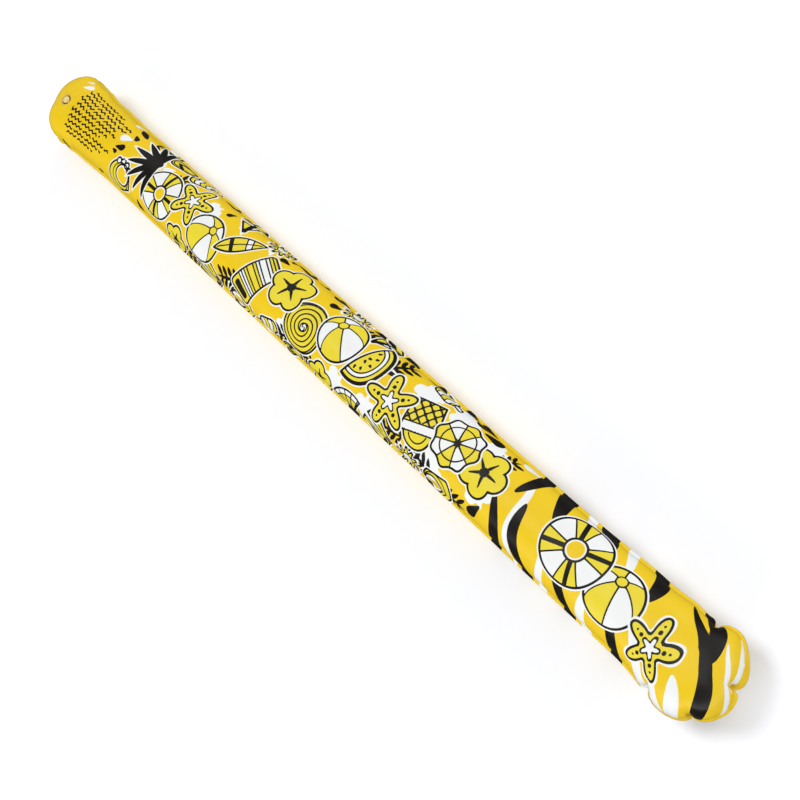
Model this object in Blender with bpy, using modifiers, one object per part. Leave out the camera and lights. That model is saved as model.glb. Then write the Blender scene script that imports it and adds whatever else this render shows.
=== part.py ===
"""Inflatable pool noodle: two printed film panels welded round their edge, and a push-in air valve.

The noodle lies along X with its fat end at +X, its weld level and the floor at z = 0.
Metres, +Z up, origin under the middle of the whole object.
"""

from math import acos, asin, cos, degrees, hypot, pi, radians, sin, sqrt

import bmesh
import bpy
from mathutils import Matrix, Vector

# Driving sizes of the two film panels
LENGTH = 1.25
FLAT_WIDTH = 0.127
WELD_WIDTH = 0.0045
FILM = 0.0003
REST_DEPTH = 0.0005
FIT_GAP = 0.0003

# An air-filled round film disc draws in to this share of its flat radius
DRAW_IN_SHARE = 0.763
POLE_HEIGHT_SHARE = 0.90
HEAD_FLARE_LENGTH = 0.068
TAIL_FLARE_LENGTH = 0.046
SLOPE_LENGTH = 0.075
NECK_FADE = 0.010
# Powers of the section's curve: round along the tube, fuller towards the pole
TUBE_POWER = 2.0
POLE_POWER = 2.4

# Puckers in the weld round each end, as turns in degrees from the tip and shares of the end's radius,
# and how far each lobe between two of them swells past that radius
HEAD_PUCKERS = ((-110, 0.15), (-49, 0.13), (13, 0.17), (99, 0.19))
HEAD_SWELL_SHARES = (0.02, 0.00, 0.05)
TAIL_PUCKERS = ((-106, 0.10), (-52, 0.14), (8, 0.10), (100, 0.12))
TAIL_SWELL_SHARES = (-0.05, -0.08, 0.12)
PUCKER_POWER = 4.5
PUCKER_REACH_POWER = 4
LOBE_STEP = 9.0
NECK_STEP = 0.004
SHAFT_STEP = 0.16
FRONT_ROWS = 10
BACK_ROWS = 8

# Air valve, measured from the middle of its mouth
VALVE_FROM_TIP = 0.051
VALVE_SEAT_GAP = 0.0004
FLANGE_RADIUS = 0.0130
FLANGE_INNER_RADIUS = 0.0080
FLANGE_THICK = 0.0008
FLANGE_RINGS = 3
HOLE_RADIUS = 0.0086
CUP_WALL = 0.0005
CUP_FLOOR_RADIUS = 0.0067
CUP_CHAMFER = 0.0008
LIP_DROP = 0.0006
STEM_RADIUS = 0.0044
STEM_BORE_RADIUS = 0.0026
STEM_HEIGHT = 0.0110
STEM_FOOT_RADIUS = 0.0048
STEM_FOOT_THICK = 0.0010
EDGE_EASE = 0.0003
CAP_RADIUS = 0.0049
CAP_THICK = 0.0014
CAP_PROUD = 0.0006
SPIGOT_LENGTH = 0.0040
SPIGOT_ROUNDS = 5
BORE_CLEARANCE = 0.00012
STRAP_WIDTH = 0.0024
STRAP_THICK = 0.0007
STRAP_DROP = 0.0040
HINGE_OUT = 0.00605
FLAP_RADIUS = 0.0033
FLAP_THICK = 0.0005
FLAP_HINGE_OUT = 0.0041
FLAP_TAB_WIDTH = 0.0020
TURN_STEPS = 28
KNUCKLE_STEPS = 10
CUT_OVERRUN = 0.004
WELD_DISTANCE = 0.00001

YELLOW = (0.84, 0.60, 0.02, 1.0)
BACK_YELLOW = (0.86, 0.63, 0.03, 1.0)
CLEAR_VINYL = (0.86, 0.84, 0.66, 1.0)

TUBE_RADIUS = FLAT_WIDTH / pi
SEAM_Z = TUBE_RADIUS - REST_DEPTH
END_RADIUS = DRAW_IN_SHARE * FLAT_WIDTH / 2
WELD_FACE = FIT_GAP / 2 + FILM


def clear_scene():
    for item in list(bpy.data.objects):
        bpy.data.objects.remove(item, do_unlink=True)


def collection(name):
    group = bpy.data.collections.new(name)
    bpy.context.scene.collection.children.link(group)
    return group


def material(name, colour, roughness, alpha=1.0):
    made = bpy.data.materials.new(name)
    made.use_nodes = True
    shader = made.node_tree.nodes["Principled BSDF"]
    shader.inputs["Base Color"].default_value = colour
    shader.inputs["Roughness"].default_value = roughness
    shader.inputs["Metallic"].default_value = 0.0
    shader.inputs["Alpha"].default_value = alpha
    return made


def ease(share):
    share = min(max(share, 0.0), 1.0)
    return share * share * (3 - 2 * share)


class End:
    """One round end of the welded strip, with the puckers that its weld draws into."""

    def __init__(self, side, flare_length, puckers, swell_shares):
        self.side = side
        self.flare_length = flare_length
        self.swells = [share * END_RADIUS for share in swell_shares]
        self.turns = [radians(turn) for turn, _ in puckers]
        self.depths = [share * END_RADIUS for _, share in puckers]
        reach = max(self.outer(turn) * cos(turn) for turn in self.fan_turns())
        self.pole = side * (LENGTH / 2 - reach)

    def pucker(self, turn):
        """How far the weld is drawn in at this turn, where past a quarter turn it runs straight.

        It is less than nothing where a lobe swells out.
        """
        if turn < self.turns[0] or turn > self.turns[-1]:
            nearest = 0 if turn < 0 else -1
            past = abs(turn - self.turns[nearest]) * END_RADIUS
            return self.depths[nearest] * max(1 - past / NECK_FADE, 0.0) ** 2
        after = next(i for i in range(1, len(self.turns)) if turn <= self.turns[i])
        start, stop = self.turns[after - 1], self.turns[after]
        along = (turn - start) / (stop - start)
        depth = self.depths[after - 1] * (1 - along) + self.depths[after] * along
        swell = self.swells[after - 1] * (1 - (2 * along - 1) ** 2)
        return depth * abs(2 * along - 1) ** PUCKER_POWER - swell

    def outer(self, turn):
        return END_RADIUS - self.pucker(turn) + WELD_WIDTH

    def half_width(self, behind):
        return TUBE_RADIUS + (END_RADIUS - TUBE_RADIUS) * (1 - ease(behind / self.flare_length))

    def fan_turns(self):
        """Turns from one quarter to the other, closer together beside each pucker."""
        stops = [-pi / 2] + [turn for turn in self.turns if abs(turn) < pi / 2] + [pi / 2]
        turns = [stops[0]]
        for start, stop in zip(stops, stops[1:]):
            count = max(2, round(degrees(stop - start) / LOBE_STEP))
            for i in range(1, count + 1):
                turns.append(start + (stop - start) * (1 - cos(pi * i / count)) / 2)
        return turns

    def neck_distances(self):
        """Distances behind the pole where the flaring neck has a section."""
        necks = [(abs(turn) - pi / 2) * END_RADIUS for turn in (self.turns[0], self.turns[-1])]
        stops = sorted([0.0, *necks, max(necks) + NECK_FADE, SLOPE_LENGTH])
        distances = [0.0]
        for start, stop in zip(stops, stops[1:]):
            step = NECK_STEP if start < max(necks) + NECK_FADE else SLOPE_LENGTH / 4
            count = max(1, round((stop - start) / step))
            distances += [start + (stop - start) * i / count for i in range(1, count + 1)]
        return distances


def ridge(behind):
    return TUBE_RADIUS * (1 - (1 - POLE_HEIGHT_SHARE) * (1 - ease(behind / SLOPE_LENGTH)))


def fullness(behind):
    return TUBE_POWER + (POLE_POWER - TUBE_POWER) * (1 - ease(behind / SLOPE_LENGTH))


def side_middle(ends):
    """The noodle's middle line, placed so that its widest points lie alike on both sides."""
    highs = [end.outer(turn) * sin(turn) for end in ends for turn in end.fan_turns()]
    return -(max(highs) + min(highs)) / 2


def row_tilts(count):
    """Tilts from the ridge to the weld: the first row is the edge of the strip it rests on."""
    rest_edge = acos((SEAM_Z - WELD_FACE) / (TUBE_RADIUS - WELD_FACE))
    return [rest_edge + (pi / 2 - rest_edge) * i / (count - 1) for i in range(count)]


def swing_in(tilt, power):
    """Share of the half width reached at this tilt, on a curve of this power."""
    return sin(tilt) ** (2 / power)


def height(behind, tilt, up):
    share = max(cos(tilt), 0.0) ** (2 / fullness(behind))
    rise = WELD_FACE + (ridge(behind) - WELD_FACE) * share
    return max(SEAM_Z + up * rise, 0.0)


def section(end, behind, tilts, up, middle):
    """One section square to the noodle, from the weld's edge at -Y to the one at +Y."""
    x = end.pole - end.side * behind
    power = fullness(behind)
    points = []
    for flank in (-1, 1):
        pucker = end.pucker(flank * (pi / 2 + behind / END_RADIUS))
        half = end.half_width(behind)
        run = []
        for tilt in tilts:
            out = half * swing_in(tilt, power) - pucker * sin(tilt) ** PUCKER_REACH_POWER
            run.append((x, middle + flank * out, height(behind, tilt, up)))
        edge = half - pucker + WELD_WIDTH
        run.append((x, middle + flank * edge, height(behind, pi / 2, up)))
        points.append(run)
    return points[0][::-1] + [(x, middle, height(behind, 0.0, up))] + points[1]


def spoke(end, turn, tilts, up, middle):
    """One line of the round end, from beside its pole out to the weld's edge."""
    pucker = end.pucker(turn)
    outs = []
    for tilt in tilts:
        reach = END_RADIUS * swing_in(tilt, POLE_POWER)
        outs.append(reach - pucker * sin(tilt) ** PUCKER_REACH_POWER)
    outs.append(END_RADIUS - pucker + WELD_WIDTH)
    heights = [height(0.0, tilt, up) for tilt in tilts]
    heights.append(heights[-1])
    return [
        (end.pole + end.side * out * cos(turn), middle + out * sin(turn), z)
        for out, z in zip(outs, heights)
    ]


def film_height(tail, middle, x, y):
    """Top of the front film near its ridge at the tail."""
    behind = x - tail.pole
    if behind > 0:
        share = abs(y - middle) / tail.half_width(behind)
    else:
        share = hypot(behind, y - middle) / END_RADIUS
        behind = 0.0
    return height(behind, asin(share ** (fullness(behind) / 2)), 1)


def panel(name, head, tail, middle, rows, up, coat, group):
    """A half of the noodle: a lofted strip with a fan of spokes round each end, given its film."""
    tilts = row_tilts(rows)
    shape = bmesh.new()

    def place(points):
        return [shape.verts.new(point) for point in points]

    tail_places = [(tail, d) for d in tail.neck_distances()]
    head_places = [(head, d) for d in reversed(head.neck_distances())]
    gap = head.pole - SLOPE_LENGTH - (tail.pole + SLOPE_LENGTH)
    count = max(2, round(gap / SHAFT_STEP))
    shaft_places = [(tail, SLOPE_LENGTH + gap * i / count) for i in range(1, count)]
    sections = [place(section(end, d, tilts, up, middle))
                for end, d in tail_places + shaft_places + head_places]

    def skin(first, second, reverse):
        for i in range(len(first) - 1):
            corners = [first[i], first[i + 1], second[i + 1], second[i]]
            corners = [c for n, c in enumerate(corners) if c not in corners[:n]]
            shape.faces.new(corners[::-1] if reverse else corners)

    for first, second in zip(sections, sections[1:]):
        skin(second, first, up < 0)
    for end, ring in ((tail, sections[0]), (head, sections[-1])):
        pole = ring[len(ring) // 2]
        low = ring[: len(ring) // 2][::-1]
        high = ring[len(ring) // 2 + 1:]
        inner = [place(spoke(end, turn, tilts, up, middle)) for turn in end.fan_turns()[1:-1]]
        spokes = [[pole, *line] for line in [low, *inner, high]]
        for first, second in zip(spokes, spokes[1:]):
            skin(first, second, end.side * up < 0)

    mesh = bpy.data.meshes.new(name)
    shape.to_mesh(mesh)
    shape.free()
    mesh.shade_smooth()
    mesh.set_sharp_from_angle(angle=radians(50))
    made = bpy.data.objects.new(name, mesh)
    group.objects.link(made)
    wall = made.modifiers.new("film", "SOLIDIFY")
    wall.thickness = FILM
    wall.offset = -1
    wall.use_even_offset = True
    made.data.materials.append(coat)
    return made


def turned(name, outline, centre, coat, group, ring=False, steps=TURN_STEPS):
    """A turned piece from its outline of (radius, height) points, run down its outer side."""
    shape = bmesh.new()
    points = [shape.verts.new((radius, 0.0, z)) for radius, z in outline]
    for first, second in zip(points, points[1:]):
        shape.edges.new((first, second))
    if ring:
        shape.edges.new((points[-1], points[0]))
    mesh = bpy.data.meshes.new(name)
    shape.to_mesh(mesh)
    shape.free()
    made = bpy.data.objects.new(name, mesh)
    group.objects.link(made)
    made.location = centre
    spin = made.modifiers.new("turn", "SCREW")
    spin.angle = 2 * pi
    spin.steps = steps
    spin.render_steps = steps
    spin.use_merge_vertices = True
    spin.merge_threshold = WELD_DISTANCE
    spin.use_smooth_shade = True
    made.data.materials.append(coat)
    return made


def extruded(name, outline, width, centre, coat, group):
    """A flat outline of (x, z) points given its width along Y, as a mesh."""
    curve = bpy.data.curves.new(name, "CURVE")
    curve.dimensions = "2D"
    curve.fill_mode = "BOTH"
    curve.extrude = width / 2
    line = curve.splines.new("POLY")
    line.points.add(len(outline) - 1)
    for point, (x, z) in zip(line.points, outline):
        point.co = (x, z, 0.0, 1.0)
    line.use_cyclic_u = True
    guide = bpy.data.objects.new(name + "_outline", curve)
    group.objects.link(guide)
    bpy.context.view_layer.update()
    evaluated = guide.evaluated_get(bpy.context.evaluated_depsgraph_get())
    mesh = bpy.data.meshes.new_from_object(evaluated)
    bpy.data.objects.remove(guide, do_unlink=True)
    shape = bmesh.new()
    shape.from_mesh(mesh)
    bmesh.ops.remove_doubles(shape, verts=shape.verts, dist=WELD_DISTANCE)
    bmesh.ops.rotate(shape, verts=shape.verts, cent=Vector(), matrix=Matrix.Rotation(pi / 2, 3, "X"))
    shape.to_mesh(mesh)
    shape.free()
    mesh.name = name
    mesh.materials.clear()
    mesh.materials.append(coat)
    made = bpy.data.objects.new(name, mesh)
    group.objects.link(made)
    made.location = centre
    return made


def hide(cutter):
    cutter.hide_render = True
    cutter.display_type = "WIRE"


def boolean(piece, other, operation):
    cut = piece.modifiers.new(operation.lower(), "BOOLEAN")
    cut.operation = operation
    cut.solver = "EXACT"
    cut.object = other
    hide(other)


def tab_outline(hinge_x, hinge_z, thick, reach_x):
    """A strip that ends in a round knuckle on the hinge line and runs to reach_x."""
    away = 1 if reach_x > hinge_x else -1
    half = thick / 2
    points = [(reach_x, hinge_z - half), (reach_x, hinge_z + half)]
    for i in range(KNUCKLE_STEPS + 1):
        swing = pi / 2 + pi * i / KNUCKLE_STEPS
        points.append((hinge_x + away * half * cos(swing), hinge_z + half * sin(swing)))
    return points


def valve_flange(tail, middle, centre, coat, group):
    """The welded ring under the film, draped to the film's own curve."""
    shape = bmesh.new()
    bmesh.ops.create_circle(shape, segments=TURN_STEPS, radius=FLANGE_INNER_RADIUS)
    rim = list(shape.edges)
    for i in range(FLANGE_RINGS):
        grown = bmesh.ops.extrude_edge_only(shape, edges=rim)["geom"]
        rim = [item for item in grown if isinstance(item, bmesh.types.BMEdge)]
        corners = [item for item in grown if isinstance(item, bmesh.types.BMVert)]
        width = (FLANGE_RADIUS - FLANGE_INNER_RADIUS) / FLANGE_RINGS
        growth = (FLANGE_INNER_RADIUS + width * (i + 1)) / (FLANGE_INNER_RADIUS + width * i)
        bmesh.ops.scale(shape, vec=(growth, growth, 1), verts=corners)
    for corner in shape.verts:
        x, y = centre.x + corner.co.x, centre.y + corner.co.y
        corner.co.z = film_height(tail, middle, x, y) - FILM - VALVE_SEAT_GAP - centre.z
    for face in shape.faces:
        face.normal_update()
        if face.normal.z < 0:
            face.normal_flip()
    mesh = bpy.data.meshes.new("valve_flange")
    shape.to_mesh(mesh)
    shape.free()
    mesh.shade_smooth()
    mesh.set_sharp_from_angle(angle=radians(40))
    made = bpy.data.objects.new("valve_flange", mesh)
    group.objects.link(made)
    made.location = centre
    wall = made.modifiers.new("thickness", "SOLIDIFY")
    wall.thickness = FLANGE_THICK
    wall.offset = -1
    made.data.materials.append(coat)


def valve_diaphragm(centre, coat, group):
    """The thin cup that folds in with the stem and turns out with it."""
    outer = FLANGE_INNER_RADIUS - FIT_GAP
    floor_inner = STEM_FOOT_RADIUS + FIT_GAP
    floor_top = stem_foot_z() + STEM_FOOT_THICK
    floor = floor_top - CUP_WALL
    inner = outer - CUP_WALL
    wall_outer = CUP_FLOOR_RADIUS + CUP_WALL
    outline = [
        (inner, -LIP_DROP),
        (outer, -LIP_DROP),
        (wall_outer, floor + CUP_CHAMFER),
        (wall_outer - CUP_CHAMFER, floor),
        (floor_inner, floor),
        (floor_inner, floor_top),
        (CUP_FLOOR_RADIUS - CUP_CHAMFER, floor_top),
        (CUP_FLOOR_RADIUS, floor_top + CUP_CHAMFER),
    ]
    turned("valve_diaphragm", outline, centre, coat, group, ring=True)


def cap_under_z():
    return CAP_PROUD - CAP_THICK


def stem_top_z():
    return cap_under_z() - FIT_GAP


def stem_foot_z():
    return stem_top_z() - STEM_HEIGHT


def hinge_z():
    return CAP_PROUD - STRAP_THICK / 2


def valve_stem(centre, coat, group):
    """The mouthpiece: a short tube with a foot ring, pushed down into the noodle at rest."""
    top, foot = stem_top_z(), stem_foot_z()
    outline = [
        (STEM_BORE_RADIUS, top),
        (STEM_RADIUS - EDGE_EASE, top),
        (STEM_RADIUS, top - EDGE_EASE),
        (STEM_RADIUS, foot + STEM_FOOT_THICK),
        (STEM_FOOT_RADIUS, foot + STEM_FOOT_THICK - EDGE_EASE),
        (STEM_FOOT_RADIUS, foot),
        (STEM_BORE_RADIUS, foot),
    ]
    turned("valve_stem", outline, centre, coat, group, ring=True)


def valve_plug(centre, coat, group, cutters):
    """The stopper: a cap, a spigot rounded so that it swings out of the bore, and a hinge tab."""
    under = cap_under_z()
    swing = HINGE_OUT + STEM_BORE_RADIUS - BORE_CLEARANCE
    drop_start = hinge_z() - under
    outline = [
        (0.0, CAP_PROUD),
        (CAP_RADIUS - EDGE_EASE, CAP_PROUD),
        (CAP_RADIUS, CAP_PROUD - EDGE_EASE),
        (CAP_RADIUS, under),
    ]
    for i in range(SPIGOT_ROUNDS + 1):
        drop = drop_start + SPIGOT_LENGTH * i / SPIGOT_ROUNDS
        outline.append((sqrt(swing ** 2 - drop ** 2) - HINGE_OUT, hinge_z() - drop))
    outline.append((0.0, hinge_z() - drop_start - SPIGOT_LENGTH))
    plug = turned("valve_plug", outline, centre, coat, group)
    tab = extruded(
        "plug_tab",
        tab_outline(HINGE_OUT, hinge_z(), STRAP_THICK, CAP_RADIUS / 2),
        STRAP_WIDTH, centre, coat, cutters,
    )
    boolean(plug, tab, "UNION")


def plug_strap(centre, coat, group):
    """The strap's fixed half: from a foot beside the stem up to just under the hinge line."""
    out = HINGE_OUT + STRAP_THICK / 2
    start = STEM_RADIUS + FIT_GAP
    top = hinge_z() - STRAP_THICK / 2 - FIT_GAP
    bottom = top - STRAP_DROP
    outline = [
        (start, bottom),
        (out, bottom),
        (out, top),
        (out - STRAP_THICK, top),
        (out - STRAP_THICK, bottom + STRAP_THICK),
        (start, bottom + STRAP_THICK),
    ]
    extruded("plug_strap", outline, STRAP_WIDTH, centre, coat, group)


def check_flap(centre, coat, group, cutters):
    """The leaf under the stem that lets air in and closes behind it."""
    top = stem_foot_z() - FIT_GAP
    outline = [(0.0, top), (FLAP_RADIUS, top), (FLAP_RADIUS, top - FLAP_THICK), (0.0, top - FLAP_THICK)]
    flap = turned("check_flap", outline, centre, coat, group)
    tab = extruded(
        "flap_tab",
        tab_outline(-FLAP_HINGE_OUT, top - FLAP_THICK / 2, FLAP_THICK, -FLAP_RADIUS / 2),
        FLAP_TAB_WIDTH, centre, coat, cutters,
    )
    boolean(flap, tab, "UNION")


def cut_valve_hole(front, centre, cutters):
    bpy.ops.mesh.primitive_cylinder_add(
        vertices=TURN_STEPS * 2, radius=HOLE_RADIUS, depth=2 * CUT_OVERRUN, location=centre
    )
    cutter = bpy.context.object
    cutter.name = "valve_hole"
    for home in list(cutter.users_collection):
        home.objects.unlink(cutter)
    cutters.objects.link(cutter)
    boolean(front, cutter, "DIFFERENCE")


def build():
    clear_scene()
    group = collection("pool_noodle")
    cutters = collection("cutters")
    front_film = material("printed_film", YELLOW, 0.28)
    back_film = material("back_film", BACK_YELLOW, 0.30)
    vinyl = material("valve_vinyl", CLEAR_VINYL, 0.35, alpha=0.7)

    head = End(1, HEAD_FLARE_LENGTH, HEAD_PUCKERS, HEAD_SWELL_SHARES)
    tail = End(-1, TAIL_FLARE_LENGTH, TAIL_PUCKERS, TAIL_SWELL_SHARES)
    middle = side_middle((head, tail))
    front = panel("front_panel", head, tail, middle, FRONT_ROWS, 1, front_film, group)
    panel("back_panel", head, tail, middle, BACK_ROWS, -1, back_film, group)

    valve_x = VALVE_FROM_TIP - LENGTH / 2
    mouth = Vector((valve_x, middle, film_height(tail, middle, valve_x, middle)))
    cut_valve_hole(front, mouth, cutters)
    valve_flange(tail, middle, mouth, vinyl, group)
    valve_diaphragm(mouth, vinyl, group)
    valve_stem(mouth, vinyl, group)
    valve_plug(mouth, vinyl, group, cutters)
    plug_strap(mouth, vinyl, group)
    check_flap(mouth, vinyl, group, cutters)


build()
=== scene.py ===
"""An inflatable pool noodle: fine welded film, its print and a soft push-in valve.

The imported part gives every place. All lengths are in metres, +Z up, along X.
"""

from math import cos, pi, radians, sin, sqrt

import bmesh
import bpy
import numpy as np
from bpy.props import FloatProperty, FloatVectorProperty, IntProperty, PointerProperty
from bpy.types import Operator, Panel, PropertyGroup
from mathutils import Matrix, Vector


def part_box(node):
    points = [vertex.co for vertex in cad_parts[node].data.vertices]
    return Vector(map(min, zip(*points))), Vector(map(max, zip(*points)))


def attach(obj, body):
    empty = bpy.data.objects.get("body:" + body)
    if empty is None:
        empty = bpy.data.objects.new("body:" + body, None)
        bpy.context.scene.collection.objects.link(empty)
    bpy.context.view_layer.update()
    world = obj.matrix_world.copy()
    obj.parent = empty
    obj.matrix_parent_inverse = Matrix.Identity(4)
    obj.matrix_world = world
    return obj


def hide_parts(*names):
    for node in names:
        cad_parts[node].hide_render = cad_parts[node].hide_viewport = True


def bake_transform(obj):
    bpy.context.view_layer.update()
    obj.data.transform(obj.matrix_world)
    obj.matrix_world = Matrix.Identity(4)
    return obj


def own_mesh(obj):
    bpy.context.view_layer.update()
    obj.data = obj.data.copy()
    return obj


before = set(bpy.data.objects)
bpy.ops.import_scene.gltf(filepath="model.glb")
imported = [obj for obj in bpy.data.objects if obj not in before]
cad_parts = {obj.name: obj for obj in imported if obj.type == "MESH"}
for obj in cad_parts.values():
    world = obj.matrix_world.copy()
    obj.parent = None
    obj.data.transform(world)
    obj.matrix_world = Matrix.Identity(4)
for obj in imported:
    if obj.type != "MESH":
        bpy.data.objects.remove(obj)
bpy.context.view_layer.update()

bl_info = {
    "name": "Pool noodle",
    "version": (1, 0, 0),
    "blender": (4, 5, 0),
    "location": "3D View > Sidebar > Noodle",
    "description": "Dresses the packed pool noodle in welded film with a print and a soft valve",
    "category": "Object",
}

MM = 0.001
TOUCH = 1e-6

# Puckers in the weld round each end: turn from the tip in degrees, and depth as a share of the end's
# radius. The swells are how far the lobe between two of them stands past that radius.
HEAD_PUCKERS = ((-110, 0.14), (-49, 0.085), (13, 0.12), (99, 0.17))
HEAD_SWELLS = (0.02, 0.00, 0.05)
TAIL_PUCKERS = ((-106, 0.025), (-52, 0.05), (8, 0.04), (100, 0.025))
TAIL_SWELLS = (0.00, -0.02, 0.06)
PUCKER_POWER = 4.5
# How far the weld rim hangs down out of level, at turns from the tip, all in degrees
HEAD_DROOPS = ((-140, 54), (-110, 70), (-55, 76), (-20, 70), (13, 40), (40, 28), (75, 44), (100, 50),
               (140, 40))
TAIL_DROOPS = ((-140, 50), (-100, 72), (-40, 64), (40, 64), (90, 74), (130, 50))
# How much narrower the blown-up film is than an even end, at turns from the tip: degrees and share
HEAD_DENTS = ((-230, 0.0), (-160, 0.015), (-135, 0.040), (-112, 0.030), (-90, 0.002), (-70, 0.011),
              (-50, 0.040), (-30, -0.009), (-10, -0.019), (13, 0.045), (35, 0.033), (55, 0.025),
              (75, -0.044), (95, 0.010), (112, 0.090), (135, -0.020), (160, -0.045), (190, -0.060),
              (230, -0.030), (280, 0.0))
TAIL_DENTS = ((-230, 0.0), (-170, -0.054), (-130, -0.071), (-105, 0.030), (-80, 0.043), (-55, 0.054),
              (-30, 0.195), (-8, 0.168), (14, 0.059), (40, -0.017), (62, -0.037), (84, 0.078),
              (105, 0.021), (130, -0.039), (170, -0.057), (230, 0.0))
# Degrees over which those tables are softened, and steps of the fan that finds an end's reach
SOFTEN = 10
FAN_STEPS = 721
# Power of the curve from ridge to weld on the tube, and what the pole adds to it
TUBE_POWER = 2.0
POLE_POWER = 0.4
# Puckers grow sharper by this power from this share of the half width on, and sink in by this one
SHARPER_POWER = 3.5
SHARPER_FROM = 0.7
SINK_POWER = 7
# The rim tucks and waves from this share of the half width on. Every other tuck folds the other way.
RIM_FROM = 0.86
TUCK_REACH = 2.5 * MM
TUCK_BACK = -0.7
RIM_WAVE_LENGTH = 0.041
# Creases from a pucker: lean and widening along the way in, the depth share that counts as full, powers
CREASE_LEAN = 0.25
CREASE_WIDEN = 0.20
FULL_DEPTH_SHARE = 0.12
CREASE_POWER = 1.4
CREASE_FADE_POWER = 1.5
# Wrinkles beside the weld: wave length, how far in they run, start and weight
WRINKLES = ((6.3 * MM, 6 * MM, 0.0, 1.0), (15 * MM, 15 * MM, 2.0, 1.3))
WELD_SKIN = 2 * MM
END_WRINKLES_REACH = 0.06
SHAFT_WRINKLES = 0.2
# Wave length and start of the skin's slow unevenness, along and across
SWAY_ALONG = (0.083, 0.7)
SWAY_ACROSS = (0.061, 1.9)
# Where the three outer rows of mesh lie across the rim, as shares of its width
RIM_ROWS = (0.2, 0.6, 1.0)

# The film round the valve: softness of the collar's ring, where the creases begin, end and fade
RING_SOFT = 1.2 * MM
CREASES_BEGIN = 4 * MM
CREASES_END = 32 * MM
CREASES_FADE = 20 * MM
# Creases round the collar: how many, start and weight
COLLAR_CREASES = ((7, 0.6, 0.7), (17, 2.0, 0.3))

# Fine sizes of the valve's pieces
CUP_STEPS = 10
CUP_CLEARANCE = 0.7 * MM
STEM_LIP = 1.2 * MM
STEM_TAPER = 0.6 * MM
STEM_WAIST = 0.35 * MM
STEM_ROUND = 0.22 * MM
FOOT_FLANGE = 0.4 * MM
STRAP_BEND = 0.9 * MM
STRAP_SUNK = 0.2 * MM
TAB_WIDTH = 2.0 * MM
CAP_DISH = 0.25 * MM
CAP_LIFT = 0.3 * MM
CAP_ROUND = 0.3 * MM
SPIGOT_SLACK = 0.14 * MM
SPIGOT_NECK = 1.0 * MM
SPIGOT_NOSE = 1.2 * MM
# How much thinner the spigot is at each step down
SPIGOT_THINNER = (0.05 * MM, 0.35 * MM, 0.8 * MM)
SHARP_FILM = radians(60)
SHARP_VALVE = radians(40)

# Millimetres to an ink's edge where no ink is near
FAR = 60.0
LEVELS = ("low", "mid", "top")
PARTS = ("_body", "_detail", "_ink", "_line")


def length(name, description, default, lowest=0.0):
    return FloatProperty(name=name, description=description, default=default, min=lowest,
                         unit="LENGTH", precision=5)


def share(name, description, default):
    return FloatProperty(name=name, description=description, default=default, min=0.0, max=1.0,
                         subtype="FACTOR", precision=3)


def ink(name, description, default):
    return FloatVectorProperty(name=name, description=description, default=default, size=4,
                               min=0.0, max=1.0, subtype="COLOR")


class FilmSizes(PropertyGroup):
    """Sizes of the two welded film panels."""

    flat_width: length("Flat width", "Width of the strip between its welds, laid flat", 0.127)
    weld_width: length("Weld width", "Width of the flat rim outside the tube", 0.0045)
    film: length("Film", "Thickness of the film", 0.0003)
    weld_gap: length("Weld gap", "Space kept between the two films at the rim", 0.00004)
    rest_depth: length("Rest depth", "How far the tube is pressed flat where it lies", 0.0005)
    draw_in: share("Draw in", "Radius of a blown-up round end over its flat radius", 0.763)
    pole_height: share("Pole height", "Height over a round end against the tube's", 0.90)
    head_flare: length("Head flare", "Length over which the tube widens into the head", 0.068)
    tail_flare: length("Tail flare", "Length over which the tube widens into the tail", 0.046)
    slope: length("Slope", "Length over which the ridge drops towards an end", 0.075)
    neck_fade: length("Neck fade", "How far a pucker at the neck runs along the shaft", 0.010)
    crease_depth: length("Crease depth", "Depth of the valley that runs in from a pucker", 0.0042)
    crease_width: length("Crease width", "Half width of that valley at the rim", 0.0009)
    crease_reach: length("Crease reach", "How far that valley runs in", 0.012)
    rim_wave: length("Rim wave", "How far the weld rim waves up and down", 0.0005)
    tuck: length("Tuck", "How far the rim folds up or down in a pucker", 0.0024)
    wrinkle: length("Wrinkle", "Depth of the short wrinkles beside the weld", 0.0003)
    sway: length("Sway", "Slow unevenness of the whole skin", 0.0003)
    rows: IntProperty(name="Rows", description="Rows of mesh from the ridge to the weld", default=40,
                      min=12, max=80)
    cell: length("Cell", "Length of a mesh cell along the shaft", 0.0018, 0.0005)
    turns: IntProperty(name="Turns", description="Cells round half a turn at an end", default=150,
                       min=24, max=400)


class PrintSizes(PropertyGroup):
    """Inks and line widths of the print."""

    yellow: ink("Yellow", "Ground colour of the film", (0.776, 0.531, 0.010, 1.0))
    lemon: ink("Lemon", "Paler yellow inside the motifs", (0.745, 0.612, 0.035, 1.0))
    white: ink("White", "White ink", (0.785, 0.803, 0.795, 1.0))
    black: ink("Black", "Black ink", (0.008, 0.007, 0.006, 1.0))
    outline: length("Outline", "Width of the black line round a motif", 0.0026)
    fine_line: length("Fine line", "Width of the lines inside a motif", 0.0018)
    keyline: length("Keyline", "Width of the white line outside the black one", 0.0017)
    edge: length("Edge", "Softness of an ink's edge", 0.00012)
    row_pitch: length("Row pitch", "Distance between two rows of small waves", 0.0072)
    small_wave: length("Small wave", "Length of a small wave", 0.0092)
    small_height: length("Small height", "How far a small wave swings to each side", 0.0012)
    small_stroke: length("Small stroke", "Width of a small wave's line", 0.0021)


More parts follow.
